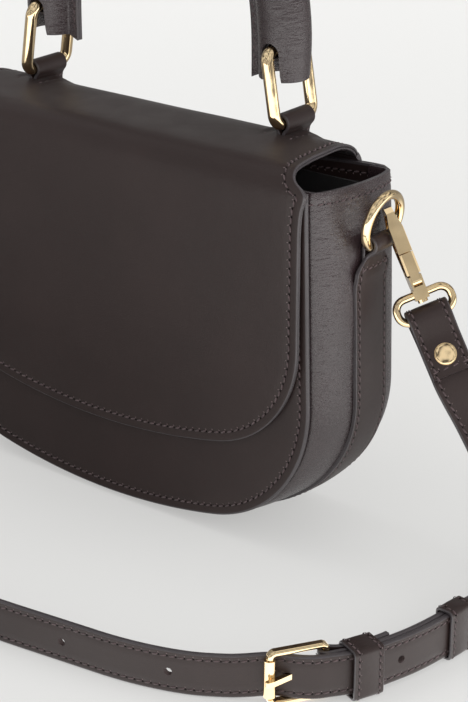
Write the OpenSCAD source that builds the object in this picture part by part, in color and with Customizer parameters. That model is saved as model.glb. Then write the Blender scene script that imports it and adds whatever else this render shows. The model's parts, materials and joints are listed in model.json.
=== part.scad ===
// Small crossbody bag with a saddle flap, a ringed top handle and a buckled shoulder strap.
// Millimetres, X along the bag's width, Y towards its back, Z up. The origin is on the
// surface that the bag stands on, midway between the two panels.

/* [Bag body] */
// Width over the panels at their widest
body_w = 222; // [190:1:260]
// Depth over the outer faces of the two panels
body_d = 59; // [50:0.5:72]
// Height of the panels' top rim at the back
rim_h = 157; // [140:1:190]
// How much higher the rim stands at the front
rim_rise = 5.5; // [3:0.5:7]
// How much higher the gusset stands than the back panel
gusset_rise = 2.5; // [0:0.5:3]
// Radius of the panels' lower corners
corner_r = 63; // [45:1:80]
// Radius of the gently rounded bottom
bottom_r = 290; // [220:5:400]
// Angle by which the sides lean in towards the rim
side_taper = 1.6; // [0:0.1:3]
// Thickness of a panel
panel_t = 2.3; // [1.8:0.1:3]
// Thickness of the gusset leather
gusset_t = 1.6; // [1.2:0.1:2]
// Width of the gusset's turned-in sewing flange
flange_w = 8; // [6:0.5:10]
// How far the gusset swells past the panels at the sides
side_swell = 10.4; // [6:0.2:13]
// How far the gusset swells past the panels at the rim
rim_swell = 7.8; // [5:0.2:9]
// How far the gusset swells past the panels underneath
bottom_swell = 0.7; // [0.3:0.1:1.2]

/* [Side strips] */
// Width of the strip that is sewn over the gusset
strip_w = 22; // [18:1:26]
// Thickness of the strip
strip_t = 1.5; // [1.2:0.1:2]
// Height at which the strip ends below the side ring
strip_top = 131; // [120:1:136]

/* [Flap] */
// Width of the flap at the front
flap_w = 214; // [180:1:250]
// Height of the flap's lower edge above the ground
flap_low = 38.2; // [25:1:60]
// Radius of the flap's lower corners
flap_corner_r = 52; // [40:1:70]
// Height of the flap's underside over the rim
flap_top = 168.6; // [166:0.2:176]
// Thickness of the flap's outer leather
flap_skin_t = 1.25; // [1:0.05:1.6]
// Thickness of the flap's lining leather
flap_back_t = 1.15; // [0.9:0.05:1.5]
// Inner radius of the bend over the front edge
bend_r = 7.6; // [6:0.2:10]
// Inner radius of the flap's curve down to the back
back_r = 30.6; // [26:0.2:36]
// Distance behind the middle at which that curve starts
back_y = 6; // [2:0.5:8]
// Height of the flap's sewn-down back piece
tail_h = 30; // [20:1:45]

/* [Handle] */
// Distance between the two handle ends
handle_span = 138.6; // [120:0.2:150]
// Outer radius of the handle's leather cover
handle_r = 11; // [9.5:0.1:12]
// Thickness of the cover
handle_t = 1.6; // [1.2:0.1:2]
// Height of the arch above the handle's ends
handle_rise = 78; // [60:1:100]
// Width of the sewn seam along the inside of the arch
seam_w = 5; // [4:0.5:7]
// Place of the handle behind the bag's middle
handle_y = 15.5; // [15.2:0.1:16]

/* [Rings] */
// Radius of the bar of a handle ring
ring_bar_r = 2.6; // [2:0.1:3]
// Width of a handle ring, bar to bar
ring_w = 25.5; // [24:0.1:27]
// Height of a handle ring, bar to bar
ring_h = 30; // [27:0.5:34]
// Corner radius of a handle ring, to the middle of the bar
ring_corner_r = 4.5; // [4:0.1:5.5]
// Lean of the handle rings towards each other
ring_lean = 9.5; // [0:0.5:12]
// Radius of the bar of a side ring
side_bar_r = 1.9; // [1.6:0.1:2.2]
// Radius of a side ring, to the middle of the bar
side_ring_r = 11.4; // [11:0.1:13]
// Length of a side ring's straight lower bar
side_bar_l = 13; // [12:0.2:14]
// Lean of the side rings at rest
side_lean = 11; // [5:1:15]

/* [Swivel hooks] */
// Width of the hook's flat face
hook_w = 5.8; // [5.4:0.1:7]
// Length from the ring to the foot of the hook
hook_foot = 26; // [24:0.1:30]
// Height of the arch over the ring
hook_arch = 8.7; // [8.6:0.1:10]
// Clear width of the throat
throat_w = 7.2; // [6.8:0.1:8.4]
// Thickness of the hook's spine and nose
hook_t = 2.8; // [2.4:0.1:3.2]
// Radius of the swivel post
post_r = 1.5; // [1.2:0.1:1.7]
// Width of the strap eye, bar to bar
eye_w = 23.3; // [22.5:0.1:25]
// Depth of the strap eye, bar to bar
eye_h = 9.8; // [9.4:0.1:12]
// Radius of the bar of the strap eye
eye_bar_r = 1.65; // [1.4:0.05:1.8]

/* [Strap] */
// Width of the strap
strap_w = 18; // [16:0.5:18.5]
// Thickness of the strap
strap_t = 2.4; // [2:0.1:2.6]
// Radius of a hole in the strap
hole_r = 1.6; // [1.4:0.1:1.8]
// Radius of the head of a strap rivet
rivet_r = 4.9; // [4:0.1:5.5]

/* [Buckle] */
// Distance from the roller bar to the rear bar
buckle_l = 22; // [20:0.5:24]
// Radius of the frame's round bars
buckle_bar_r = 1.5; // [1.3:0.05:1.6]
// Height of the buckle frame over its outer bars
buckle_h = 23.4; // [23:0.1:26]
// Outer radius of the roller
roller_r = 2.3; // [2.1:0.05:2.4]
// Radius of the prong
prong_r = 1.1; // [0.9:0.05:1.2]
// Length of a keeper along the strap
keeper_l = 13; // [10:0.5:14]
// Thickness of a keeper's leather
keeper_t = 1.2; // [1:0.1:1.6]

/* [Hidden] */

// Fits
soft_gap = 0.3;      // between leather and what moves against it
run_gap = 0.05;      // between a shaft and its bore
over = 1;            // overrun of a cut
$fn = 48;

// Heights and planes that several pieces share
face_y = body_d / 2;
web_w = body_d - 2 * panel_t;
flat_depth = 0.4;
lift = bottom_swell + strip_t - flat_depth;
rim_mid = rim_h + (rim_rise + gusset_rise) / 2;
flap_t = flap_skin_t + flap_back_t;

// Outline of a panel
bottom_steps = 6;
corner_steps = 12;
side_steps = 5;

// Right half of an outline, from the middle of the bottom to the top: [x, z, normal x, normal z]
function half_outline(half_w, corner, bottom, low, high, taper) =
    let (a0 = asin((half_w - corner) / (bottom - corner)),
        cz = low + bottom - (bottom - corner) * cos(a0),
        a1 = 90 + taper,
        ex = half_w - corner + corner * sin(a1),
        ez = cz - corner * cos(a1),
        run = (high - ez) / cos(taper))
    concat(
        [for (i = [0 : bottom_steps]) let (a = a0 * i / bottom_steps)
            [bottom * sin(a), low + bottom - bottom * cos(a), sin(a), -cos(a)]],
        [for (i = [1 : corner_steps]) let (a = a0 + (a1 - a0) * i / corner_steps)
            [half_w - corner + corner * sin(a), cz - corner * cos(a), sin(a), -cos(a)]],
        [for (i = [1 : side_steps]) let (t = run * i / side_steps)
            [ex - t * sin(taper), ez + t * cos(taper), sin(a1), -cos(a1)]]);

// A half outline with its mirror image before it, from the top left to the top right
function whole(half) = concat(
    [for (i = [len(half) - 1 : -1 : 1]) [-half[i][0], half[i][1], -half[i][2], half[i][3]]], half);

function body_outline(inset, high) = whole(half_outline(body_w / 2 - inset, corner_r - inset,
    bottom_r - inset, lift + inset, high, side_taper));

// Solid between consecutive sections of equal point count, closed at both ends
module loft(sections) {
    n = len(sections[0]);
    m = len(sections);
    points = [for (s = sections) each s];
    sides = [for (i = [0 : m - 2], j = [0 : n - 1]) let (a = i * n + j, b = i * n + (j + 1) % n)
        each [[a, b, b + n], [a, b + n, a + n]]];
    first = [for (j = [n - 1 : -1 : 0]) j];
    last = [for (j = [0 : n - 1]) (m - 1) * n + j];
    polyhedron(points, concat([first], sides, [last]), convexity = 10);
}

// A flat shape drawn in X and Z, as thick as depth, starting at the plane y
module upright(y, depth) {
    translate([0, y + depth, 0]) rotate([90, 0, 0]) linear_extrude(depth) children();
}

module panel_shape(inset, high) {
    polygon([for (p = body_outline(inset, high)) [p[0], p[1]]]);
}

// Body

magnet_r = 8;
magnet_z = flap_low + 24;
magnet_t = 1.6;

module front_panel() {
    color("#3a2f32") difference() {
        upright(-face_y, panel_t) panel_shape(0, rim_h + rim_rise);
        translate([0, -face_y - over, magnet_z]) rotate([-90, 0, 0])
            cylinder(r = magnet_r + run_gap, h = magnet_t + over);
    }
}

module back_panel() {
    color("#3a2f32") upright(face_y - panel_t, panel_t) panel_shape(0, rim_h);
}

// Swell of the gusset at a point of the outline
swell_mid = 100;
function swell(p) =
    let (side = pow(abs(p[2]), 3), up = max(0, p[1] - swell_mid) / (rim_mid - swell_mid))
    bottom_swell + (side_swell - bottom_swell) * side + (rim_swell - side_swell) * side * up * up;

gusset_inset = 0.4;
web_steps = 12;

// Points across the gusset at one place of the outline: [y, distance out from the outline]
function web(s, t) = [for (j = [0 : web_steps]) let (a = 180 * j / web_steps)
    [-(web_w / 2 - t) * cos(a), -gusset_inset + (s - t) * sin(a)]];

function gusset_section(p, tilt) =
    let (s = swell(p), outer = web(s, 0), inner = web(s, gusset_t), h = web_w / 2,
        across = concat([[-h + gusset_t, -flange_w]], inner, [[h - gusset_t, -flange_w], [h, -flange_w]],
            [for (j = [web_steps : -1 : 0]) outer[j]], [[-h, -flange_w]]))
    [for (q = across) [p[0] + q[1] * p[2], q[0], p[1] + q[1] * p[3] - tilt * q[0] / web_w]];

module gusset() {
    path = body_outline(0, rim_mid);
    last = len(path) - 1;
    color("#3c3134") loft([for (i = [0 : last])
        gusset_section(path[i], i == 0 || i == last ? rim_rise - gusset_rise : 0)]);
}

strip_steps = 6;
strip_gap = 0.1;

function strip_section(p) =
    let (s = swell(p),
        out = function (y, t) -gusset_inset + s * sqrt(1 - pow(2 * y / web_w, 2)) + strip_gap + t,
        across = concat(
            [for (j = [0 : strip_steps]) let (y = strip_w * (j / strip_steps - 1 / 2)) [y, out(y, 0)]],
            [for (j = [strip_steps : -1 : 0]) let (y = strip_w * (j / strip_steps - 1 / 2))
                [y, out(y, strip_t)]]))
    [for (q = across) [p[0] + q[1] * p[2], q[0], max(0, p[1] + q[1] * p[3])]];

module gusset_strip() {
    path = [for (p = body_outline(0, strip_top)) p];
    color("#3a2f32") loft([for (p = path) strip_section(p)]);
}

board_t = 1.2;
board_inset = flange_w + soft_gap;
board_drop = 12;

module board(y) {
    upright(y, board_t) panel_shape(board_inset, rim_h - board_drop);
}

module front_board() {
    color("#8a7a66") board(-face_y + panel_t);
}

module back_board() {
    color("#8a7a66") board(face_y - panel_t - board_t);
}

lining_t = 0.8;
lining_drop = 6;
lining_inset = gusset_inset + gusset_t + soft_gap;
lining_d = web_w - 2 * gusset_t - 2 * soft_gap;

module lining() {
    high = rim_h - lining_drop;
    color("#6d5f5a") difference() {
        upright(-lining_d / 2, lining_d) panel_shape(lining_inset, high);
        upright(-lining_d / 2 + lining_t, lining_d - 2 * lining_t)
            panel_shape(lining_inset + lining_t, high + over);
    }
}

pocket_w = 120;
pocket_h = 78;
pocket_t = 0.8;
pocket_low = 62;

module inner_pocket() {
    color("#6d5f5a") translate([-pocket_w / 2, lining_d / 2 - lining_t - pocket_t, pocket_low])
        cube([pocket_w, pocket_t, pocket_h]);
}

module magnet(y) {
    color("#d9c48f") translate([0, y, magnet_z]) rotate([-90, 0, 0]) cylinder(r = magnet_r, h = magnet_t);
}

module panel_magnet() {
    magnet(-face_y);
}

// Flap

flap_in = face_y + 2 * soft_gap;
bend_y = -flap_in + bend_r;
bend_z = flap_top - bend_r;
slope_z = flap_top - back_r;
slope_mid = back_r + flap_t / 2;
hinge_y = face_y + flap_t / 2;
slope_end = asin((hinge_y - back_y) / slope_mid);
hinge_z = slope_z + slope_mid * cos(slope_end);
bend_steps = 8;
top_steps = 4;
slope_steps = 8;

// Half width of the flap from the start of the front bend to the hinge, as shares of its half width
flap_side_shares = [[0, 1.015], [0.04, 1.02], [0.07, 1], [0.1, 0.975], [0.13, 0.96], [0.2, 0.945],
    [0.36, 0.92], [0.62, 0.915], [1, 0.855]];

// The flap's sections from its lower edge to the hinge: [half width, kind, place]
lower_edge = half_outline(flap_w / 2, flap_corner_r, bottom_r, flap_low, bend_z, 0);
first_half_share = 0.04;
bend_run = (bend_r + flap_t) * PI / 2;
top_run = back_y - bend_y;
slope_run = slope_mid * slope_end * PI / 180;
flap_run = bend_run + top_run + slope_run;
function side(run) = flap_w / 2 * lookup(run / flap_run, flap_side_shares);
function bend_point(a, d) = [bend_y - (bend_r + d) * cos(a), bend_z + (bend_r + d) * sin(a)];
function slope_point(a, d) = [back_y + (back_r + d) * sin(a), slope_z + (back_r + d) * cos(a)];

// Half width and the point at distance d from the underside, for every section of the flap
function flap_rows(d) = concat(
    [for (i = [0 : len(lower_edge) - 1]) let (p = lower_edge[i])
        [i == 0 ? flap_w * first_half_share : p[0], -flap_in - d, p[1]]],
    [for (i = [1 : bend_steps]) let (a = 90 * i / bend_steps, p = bend_point(a, d))
        [side(bend_run * i / bend_steps), p[0], p[1]]],
    [for (i = [1 : top_steps]) let (s = i / top_steps)
        [side(bend_run + top_run * s), bend_y + top_run * s, flap_top + d]],
    [for (i = [1 : slope_steps]) let (a = slope_end * i / slope_steps, p = slope_point(a, d))
        [side(bend_run + top_run + slope_run * i / slope_steps), p[0], p[1]]]);

// A layer of the flap between two distances from its underside
module flap_layer(d_in, d_out) {
    low = flap_rows(d_in);
    up = flap_rows(d_out);
    loft([for (i = [0 : len(low) - 1]) [
        [-low[i][0], low[i][1], low[i][2]], [low[i][0], low[i][1], low[i][2]],
        [up[i][0], up[i][1], up[i][2]], [-up[i][0], up[i][1], up[i][2]]]]);
}

// Openings in the flap for the two handle tabs
tab_w = 18.5;
tab_t = 1.4;
tab_drop = 10;
roll_in_r = ring_bar_r + soft_gap - run_gap;
roll_r = roll_in_r + tab_t;
tab_z = flap_top + flap_t + roll_r + run_gap;
tab_gap = 0.2;

module tab_slots() {
    for (side = [-1, 1]) translate([side * handle_span / 2 - tab_t - tab_gap,
        handle_y - tab_w / 2 - tab_gap, flap_top - tab_drop])
        cube([2 * (tab_t + tab_gap), tab_w + 2 * tab_gap, tab_drop + 2 * flap_t]);
}

module flap_outer() {
    color("#3a2f32") difference() {
        flap_layer(flap_back_t, flap_t);
        tab_slots();
    }
}

module flap_lining() {
    color("#43373a") difference() {
        flap_layer(0, flap_back_t);
        tab_slots();
        translate([0, -flap_in + over, magnet_z]) rotate([90, 0, 0])
            cylinder(r = magnet_r + run_gap, h = flap_back_t + 2 * over);
    }
}

module flap_magnet() {
    color("#d9c48f") translate([0, -flap_in, magnet_z]) rotate([90, 0, 0])
        cylinder(r = magnet_r, h = flap_back_t);
}

tail_corner_r = 8;

module flap_tail() {
    half = side(flap_run);
    high = hinge_z - flap_t / 2 - soft_gap;
    color("#3a2f32") upright(face_y, flap_t) {
        translate([-half, high - tail_h + tail_corner_r]) square([2 * half, tail_h - tail_corner_r]);
        translate([tail_corner_r - half, high - tail_h])
            square([2 * (half - tail_corner_r), tail_corner_r + run_gap]);
        for (side = [-1, 1]) translate([side * (half - tail_corner_r), high - tail_h + tail_corner_r])
            circle(tail_corner_r);
    }
}

// Handle tabs and rings

module tab(side) {
    foot = flap_top - tab_drop;
    translate([side * handle_span / 2, handle_y, 0]) color("#3a2f32") difference() {
        union() {
            translate([0, tab_w / 2, tab_z]) rotate([90, 0, 0]) cylinder(r = roll_r, h = tab_w);
            translate([-tab_t, -tab_w / 2, foot]) cube([2 * tab_t, tab_w, tab_z - foot - roll_in_r]);
        }
        translate([-roll_r, back_y - handle_y, slope_z]) rotate([0, 90, 0])
            cylinder(r = back_r - tab_t, h = 2 * roll_r);
        translate([0, tab_w / 2 + over, tab_z]) rotate([90, 0, 0])
            cylinder(r = roll_in_r, h = tab_w + 2 * over);
    }
}

module tab_left() {
    tab(-1);
}

module tab_right() {
    tab(1);
}

// Round bar between two points that differ along one axis
module bar(from, to, r) {
    d = to - from;
    turn = d[0] != 0 ? [0, 90, 0] : d[1] != 0 ? [-90, 0, 0] : [0, 0, 0];
    translate(from) rotate(turn) cylinder(r = r, h = norm(d));
}

// Ring with straight sides and round corners in the Y and Z plane, low bar on the origin
module oval_ring(w, h, corner, r) {
    y = w / 2 - corner;
    for (side = [-1, 1]) {
        bar([0, side * w / 2, corner], [0, side * w / 2, h - corner], r);
        for (end = [[corner, 180], [h - corner, 0]])
            translate([0, side * y, end[0]]) rotate([90, 0, 90])
                rotate([0, 0, (side == 1 ? 0 : 90) + (end[1] == 0 ? 0 : side == 1 ? 270 : 90)])
                    rotate_extrude(angle = 90) translate([corner, 0]) circle(r);
    }
    bar([0, -y, 0], [0, y, 0], r);
    bar([0, -y, h], [0, y, h], r);
}

module handle_ring(side) {
    color("#e0c68a") translate([side * handle_span / 2, handle_y, tab_z]) rotate([0, -side * ring_lean, 0])
        oval_ring(ring_w, ring_h, ring_corner_r, ring_bar_r);
}

module handle_ring_left() {
    handle_ring(-1);
}

module handle_ring_right() {
    handle_ring(1);
}

// Handle

ring_top = tab_z + ring_h * cos(ring_lean);
handle_half = handle_span / 2 - ring_h * sin(ring_lean);
handle_low = ring_top - 8.6;
arch_share = 2.7;
arch_steps = 28;
tube_sides = 20;

// Middle of the handle at a share of the arch from its left end to its right end
function arch(s) = let (a = 180 - 180 * s, c = cos(a), k = sin(a))
    [sign(c) * handle_half * pow(abs(c), 2 / arch_share), handle_low + handle_rise * pow(k, 2 / arch_share)];
arch_step = 0.002;
function arch_out(s) = let (a = arch(max(0, s - arch_step)), b = arch(min(1, s + arch_step)), d = b - a)
    [-d[1], d[0]] / norm(d);

function tube_section(s, r) = let (c = arch(s), o = arch_out(s))
    [for (j = [0 : tube_sides - 1]) let (a = 360 * j / tube_sides)
        [c[0] + r * cos(a) * o[0], handle_y + r * sin(a), c[1] + r * cos(a) * o[1]]];

// Shares of the arch at which the handle has a section, closer together at its ends
function arch_shares(from, to) = [for (i = [0 : arch_steps]) let (t = from + (to - from) * i / arch_steps) t];

// Round tube along the arch, with straight ends that reach down past it by a length
module tube(r, from, to, past = 0) {
    rows = [for (s = arch_shares(from, to)) tube_section(s, r)];
    down = past > 0 ? [[for (p = rows[0]) p - [0, 0, past]]] : [];
    up = past > 0 ? [[for (p = rows[len(rows) - 1]) p - [0, 0, past]]] : [];
    loft(concat(down, rows, up));
}

// Flat strip along the inside of the arch, from radius r0 to radius r1
module seam(r0, r1, t) {
    loft([for (s = arch_shares(0, 1)) let (c = arch(s), o = arch_out(s)) [for (q = [
        [-r0, t / 2], [-r1, t / 2], [-r1, -t / 2], [-r0, -t / 2]])
        [c[0] + q[0] * o[0], handle_y + q[1], c[1] + q[0] * o[1]]]]);
}

slot_h = 3;
flat_share = 0.9;

module handle_cover() {
    color("#3a2f32") difference() {
        union() {
            tube(handle_r, 0, 1);
            seam(handle_r - handle_t / 2, handle_r + seam_w, 2 * handle_t);
        }
        tube(handle_r - handle_t, 0, 1, over);
        for (side = [-1, 1]) translate([side * handle_half, handle_y, 0]) {
            translate([-ring_bar_r - 2 * soft_gap, -handle_r - over, handle_low - over])
                cube([2 * (ring_bar_r + 2 * soft_gap), 2 * (handle_r + over),
                    ring_top - handle_low + ring_bar_r + soft_gap + over]);
            for (end = [-1, 1]) translate([-handle_r, end * handle_r * (1 + flat_share) / 2
                - handle_r * (1 - flat_share) / 2 - (end == 1 ? 0 : over), handle_low - over])
                cube([2 * handle_r, handle_r * (1 - flat_share) + over, ring_top - handle_low + slot_h
                    + ring_bar_r + over]);
        }
    }
}

core_share = 0.07;

module handle_core() {
    color("#b9ab93") tube(handle_r - handle_t - tab_gap, core_share, 1 - core_share);
}

loop_w = 15;
loop_leg = 8;
loop_in_r = ring_bar_r + 2 * soft_gap;
loop_r = loop_in_r + tab_t;

module handle_loop(side) {
    translate([side * handle_half, handle_y + loop_w / 2, ring_top]) rotate([90, 0, 0])
        color("#3a2f32") linear_extrude(loop_w) difference() {
            union() {
                circle(loop_r);
                translate([-tab_t, 0]) square([2 * tab_t, loop_r + loop_leg]);
            }
            circle(loop_in_r);
        }
}

module handle_loop_left() {
    handle_loop(-1);
}

module handle_loop_right() {
    handle_loop(1);
}

// Side loops and rings

side_edge = [for (p = body_outline(0, strip_top)) p];
side_in_r = side_bar_r + soft_gap;
side_roll_r = side_in_r + strip_t;
pivot_z = strip_top + 7;
pivot_x = body_w / 2 - (pivot_z - lift - corner_r) * tan(side_taper) + side_swell - gusset_inset
    + side_roll_r + soft_gap;
loop_half = 6.2;
strip_x = pivot_x - side_roll_r;

module side_loop() {
    translate([pivot_x, loop_half, pivot_z]) rotate([90, 0, 0]) color("#3a2f32")
        linear_extrude(2 * loop_half) difference() {
            union() {
                circle(side_roll_r);
                polygon([[-side_roll_r, 0], [-side_roll_r, -1.2 * side_roll_r],
                    [strip_t + soft_gap - side_roll_r, -1.2 * side_roll_r],
                    [strip_t + soft_gap - side_roll_r, -1.8 * side_roll_r],
                    [2 * strip_t + soft_gap - side_roll_r, -1.8 * side_roll_r],
                    [side_roll_r * cos(30), -side_roll_r * sin(30)], [0, 0]]);
            }
            circle(side_in_r);
        }
}

side_rise = sqrt(pow(side_ring_r, 2) - pow(side_bar_l / 2, 2));

module side_ring() {
    a = asin(side_bar_l / 2 / side_ring_r);
    translate([pivot_x, 0, pivot_z]) rotate([0, side_lean, 0]) color("#e0c68a") {
        bar([0, -side_bar_l / 2, 0], [0, side_bar_l / 2, 0], side_bar_r);
        for (side = [-1, 1]) translate([0, side * side_bar_l / 2, 0]) sphere(side_bar_r);
        translate([0, 0, side_rise]) rotate([90, 0, 90]) rotate([0, 0, a - 90])
            rotate_extrude(angle = 360 - 2 * a) translate([side_ring_r, 0]) circle(side_bar_r);
    }
}

module side_loop_left() {
    mirror([1, 0, 0]) side_loop();
}

module side_loop_right() {
    side_loop();
}

module side_ring_left() {
    mirror([1, 0, 0]) side_ring();
}

module side_ring_right() {
    side_ring();
}

// Swivel hooks: drawn upright with the ring's bar at the origin, nose towards -Y, then turned

hook_turn = [-18.1, -20.2, 47.2];
hook_share = 0.9;
crown_share = 0.56;
hook_up = 3.5;
hook_out = sqrt(pow(side_ring_r, 2) - pow(side_rise - hook_up, 2));
hook_play = 1.68;

function turn_x(p, a) = [p[0], p[1] * cos(a) - p[2] * sin(a), p[1] * sin(a) + p[2] * cos(a)];
function turn_y(p, a) = [p[0] * cos(a) + p[2] * sin(a), p[1], p[2] * cos(a) - p[0] * sin(a)];
function turn_z(p, a) = [p[0] * cos(a) - p[1] * sin(a), p[0] * sin(a) + p[1] * cos(a), p[2]];
function hook_turned(p) = turn_z(turn_y(turn_x(p, hook_turn[0]), hook_turn[1]), hook_turn[2]);
hook_at = [pivot_x + hook_up * sin(side_lean), hook_out, pivot_z + hook_up * cos(side_lean)]
    - hook_turned([0, hook_play, 0]);

module at_hook() {
    translate(hook_at) rotate(hook_turn) children();
}

seat_h = hook_arch - hook_t;
half_throat = throat_w / 2;
hook_d = throat_w / 2 + hook_t;
nose_low = -10.2;
chamfer = 2.6;
bevel = 0.7;
face_share = 0.72;
base_h = 5.8;
base_top = base_h - hook_foot;
gate_z = base_top - 2.4;
gate_y = -half_throat - 0.8;
gate_pin_r = 0.8;
gate_t = 2.2;
gate_tongue_w = 3.6;
gate_play = 0.3;

// Side view of the hook in Y and Z
module hook_profile() {
    difference() {
        polygon([[-hook_d, base_top], [-hook_d, -hook_foot], [hook_d - bevel, -hook_foot],
            [hook_d, -hook_foot + bevel], [hook_d, hook_arch - chamfer], [hook_d - chamfer, hook_arch],
            [-hook_d + chamfer, hook_arch], [-hook_d, hook_arch - chamfer], [-hook_d, nose_low],
            [-half_throat, nose_low], [-half_throat, seat_h - bevel], [-half_throat + bevel, seat_h],
            [half_throat - bevel, seat_h], [half_throat, seat_h - bevel], [half_throat, base_top]]);
    }
}

// Front view of the hook in X and Z, narrower at the foot
module hook_front() {
    foot = hook_w / 2 * hook_share;
    crown = hook_w / 2 * crown_share;
    polygon([[-foot, -hook_foot], [foot, -hook_foot], [hook_w / 2, nose_low], [hook_w / 2, 0],
        [crown, seat_h], [crown, hook_arch], [-crown, hook_arch], [-crown, seat_h], [-hook_w / 2, 0],
        [-hook_w / 2, nose_low]]);
}

// Plan of the hook in X and Y, with bevelled edges
module hook_plan() {
    side = hook_w / 2;
    face = side * face_share;
    polygon([[-face, -hook_d], [face, -hook_d], [side, -hook_d + side - face], [side, hook_d - side + face],
        [face, hook_d], [-face, hook_d], [-side, hook_d - side + face], [-side, -hook_d + side - face]]);
}

boss_h = 4.4;
head_r = 2.1;
head_h = 1.3;

module hook_body() {
    difference() {
        intersection() {
            translate([-hook_w, 0, 0]) rotate([90, 0, 90]) linear_extrude(2 * hook_w) hook_profile();
            rotate([90, 0, 0]) linear_extrude(2 * hook_w, center = true) hook_front();
            translate([0, 0, -2 * hook_foot]) linear_extrude(3 * hook_foot) hook_plan();
        }
        translate([-gate_tongue_w / 2 - run_gap, -hook_d - over, -hook_foot + 1.4])
            cube([gate_tongue_w + 2 * run_gap, hook_d + over - 1, base_h]);
    }
    bar([-hook_w * hook_share / 2 + bevel, gate_y, gate_z], [hook_w * hook_share / 2 - bevel, gate_y, gate_z],
        gate_pin_r);
    bar([0, 0, -hook_foot - boss_h - 2 * run_gap - head_h], [0, 0, -hook_foot + run_gap], post_r);
    bar([0, 0, -hook_foot - boss_h - 2 * run_gap - head_h], [0, 0, -hook_foot - boss_h - 2 * run_gap], head_r);
}

module hook_gate() {
    low = base_top + 0.8;
    difference() {
        union() {
            translate([0, 0, low]) linear_extrude(nose_low - gate_play - low) intersection() {
                hook_plan();
                translate([-hook_w / 2, -hook_d]) square([hook_w, gate_t]);
            }
            translate([-gate_tongue_w / 2, -hook_d + 0.6, gate_z])
                cube([gate_tongue_w, gate_t - 0.7, low - gate_z + over / 2]);
            bar([-gate_tongue_w / 2, gate_y, gate_z], [gate_tongue_w / 2, gate_y, gate_z], gate_t * 0.7);
        }
        bar([-hook_w, gate_y, gate_z], [hook_w, gate_y, gate_z], gate_pin_r + run_gap);
    }
}

boss_w = 6;
boss_d = 5.4;
eye_corner_r = 4.5;

module strap_eye() {
    top = -hook_foot - run_gap - boss_h / 2;
    difference() {
        union() {
            translate([0, 0, top]) rotate([0, 180, 90]) oval_ring(eye_w, eye_h, eye_corner_r, eye_bar_r);
            translate([-boss_w / 2, -boss_d / 2, top - boss_h / 2]) cube([boss_w, boss_d, boss_h]);
        }
        translate([0, 0, top - boss_h]) cylinder(r = post_r + run_gap, h = 2 * boss_h);
    }
}

module hook_left() {
    mirror([1, 0, 0]) color("#e0c68a") at_hook() hook_body();
}

module hook_right() {
    color("#e0c68a") at_hook() hook_body();
}

module hook_gate_left() {
    mirror([1, 0, 0]) color("#e6cf9a") at_hook() hook_gate();
}

module hook_gate_right() {
    color("#e6cf9a") at_hook() hook_gate();
}

module strap_eye_left() {
    mirror([1, 0, 0]) color("#e0c68a") at_hook() strap_eye();
}

module strap_eye_right() {
    color("#e0c68a") at_hook() strap_eye();
}

// Strap ends: folded over the eye's lower bar and riveted

fold_z = -hook_foot - run_gap - boss_h / 2 - eye_h;
fold_lean = 13;
fold_in_r = eye_bar_r + 1;
fold_mid = fold_in_r + strap_t / 2;
ply_mid = strap_t / 2 + run_gap;
rivet_at = 16.2;
end_l = 30;

// Where the two plies of a folded end run, as shares of its length and of their usual distance from its middle
ply_shares = [[1, 1], [0.75, 1], [0.42, 1], [0.32, 1], [0.2, 1.7]];

// Point of the folded end: u down the strap from the eye's bar, v towards its front
function fold_point(u, v) = hook_at + hook_turned([0, 0, fold_z] + turn_x([0, -v, -u], -fold_lean));
fold_across = hook_turned([1, 0, 0]);

// Rows of a strap: [place, width direction, thickness, half width]
function row(p, w, t = strap_t, half = strap_w / 2) = concat(p, w, [t, half]);

fold_rows = [for (q = concat(
    [for (q = ply_shares) [end_l * q[0], ply_mid * q[1]]],
    [for (a = [0 : 30 : 180]) [-fold_mid * sin(a), fold_mid * cos(a)]],
    [for (q = [for (i = [len(ply_shares) - 1 : -1 : 0]) ply_shares[i]]) [end_l * q[0], -ply_mid * q[1]]]))
    row(fold_point(q[0], q[1]), fold_across)];

// Rows with every corner cut to a gentler one
function cut(rows) = let (n = len(rows)) concat([rows[0]],
    [for (i = [0 : n - 2]) each [rows[i] * 0.75 + rows[i + 1] * 0.25, rows[i] * 0.25 + rows[i + 1] * 0.75]],
    [rows[n - 1]]);
function smooth(rows) = cut(cut(rows));

function place(q) = [q[0], q[1], q[2]];
function unit(v) = v / norm(v);

// A strap that follows its rows
module ribbon(rows) {
    n = len(rows);
    loft([for (i = [0 : n - 1])
        let (q = rows[i], p = place(q),
            t = unit(place(rows[min(n - 1, i + 1)]) - place(rows[max(0, i - 1)])),
            f = unit(cross(t, [q[3], q[4], q[5]])), w = cross(f, t), hf = f * q[6] / 2, hw = w * q[7])
        [p + hw - hf, p - hw - hf, p - hw + hf, p + hw + hf]]);
}

// Buckle: stands on its long edge, X runs from the roller bar to the rear bar

buckle_at = [168, -112.8];
buckle_turn = 57;
buckle_gap = 0.1;
rail_t = 2.3;
rail_w = 4;
rail_corner_r = 2;
strap_z = buckle_gap + buckle_h / 2;
fold_t = 1.6;
bar_x = buckle_l / 2;

function buckle_point(x, y, z = strap_z) = concat(turn_z([x, y, 0], buckle_turn) + [buckle_at[0], buckle_at[1], z]);

module at_buckle() {
    translate([buckle_at[0], buckle_at[1], strap_z]) rotate([0, 0, buckle_turn]) children();
}

module rail_section() {
    round_r = rail_t / 2;
    square([rail_t, rail_w - rail_t], center = true);
    for (side = [-1, 1]) translate([0, side * (rail_w / 2 - round_r)]) circle(round_r, $fn = 24);
}

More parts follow.
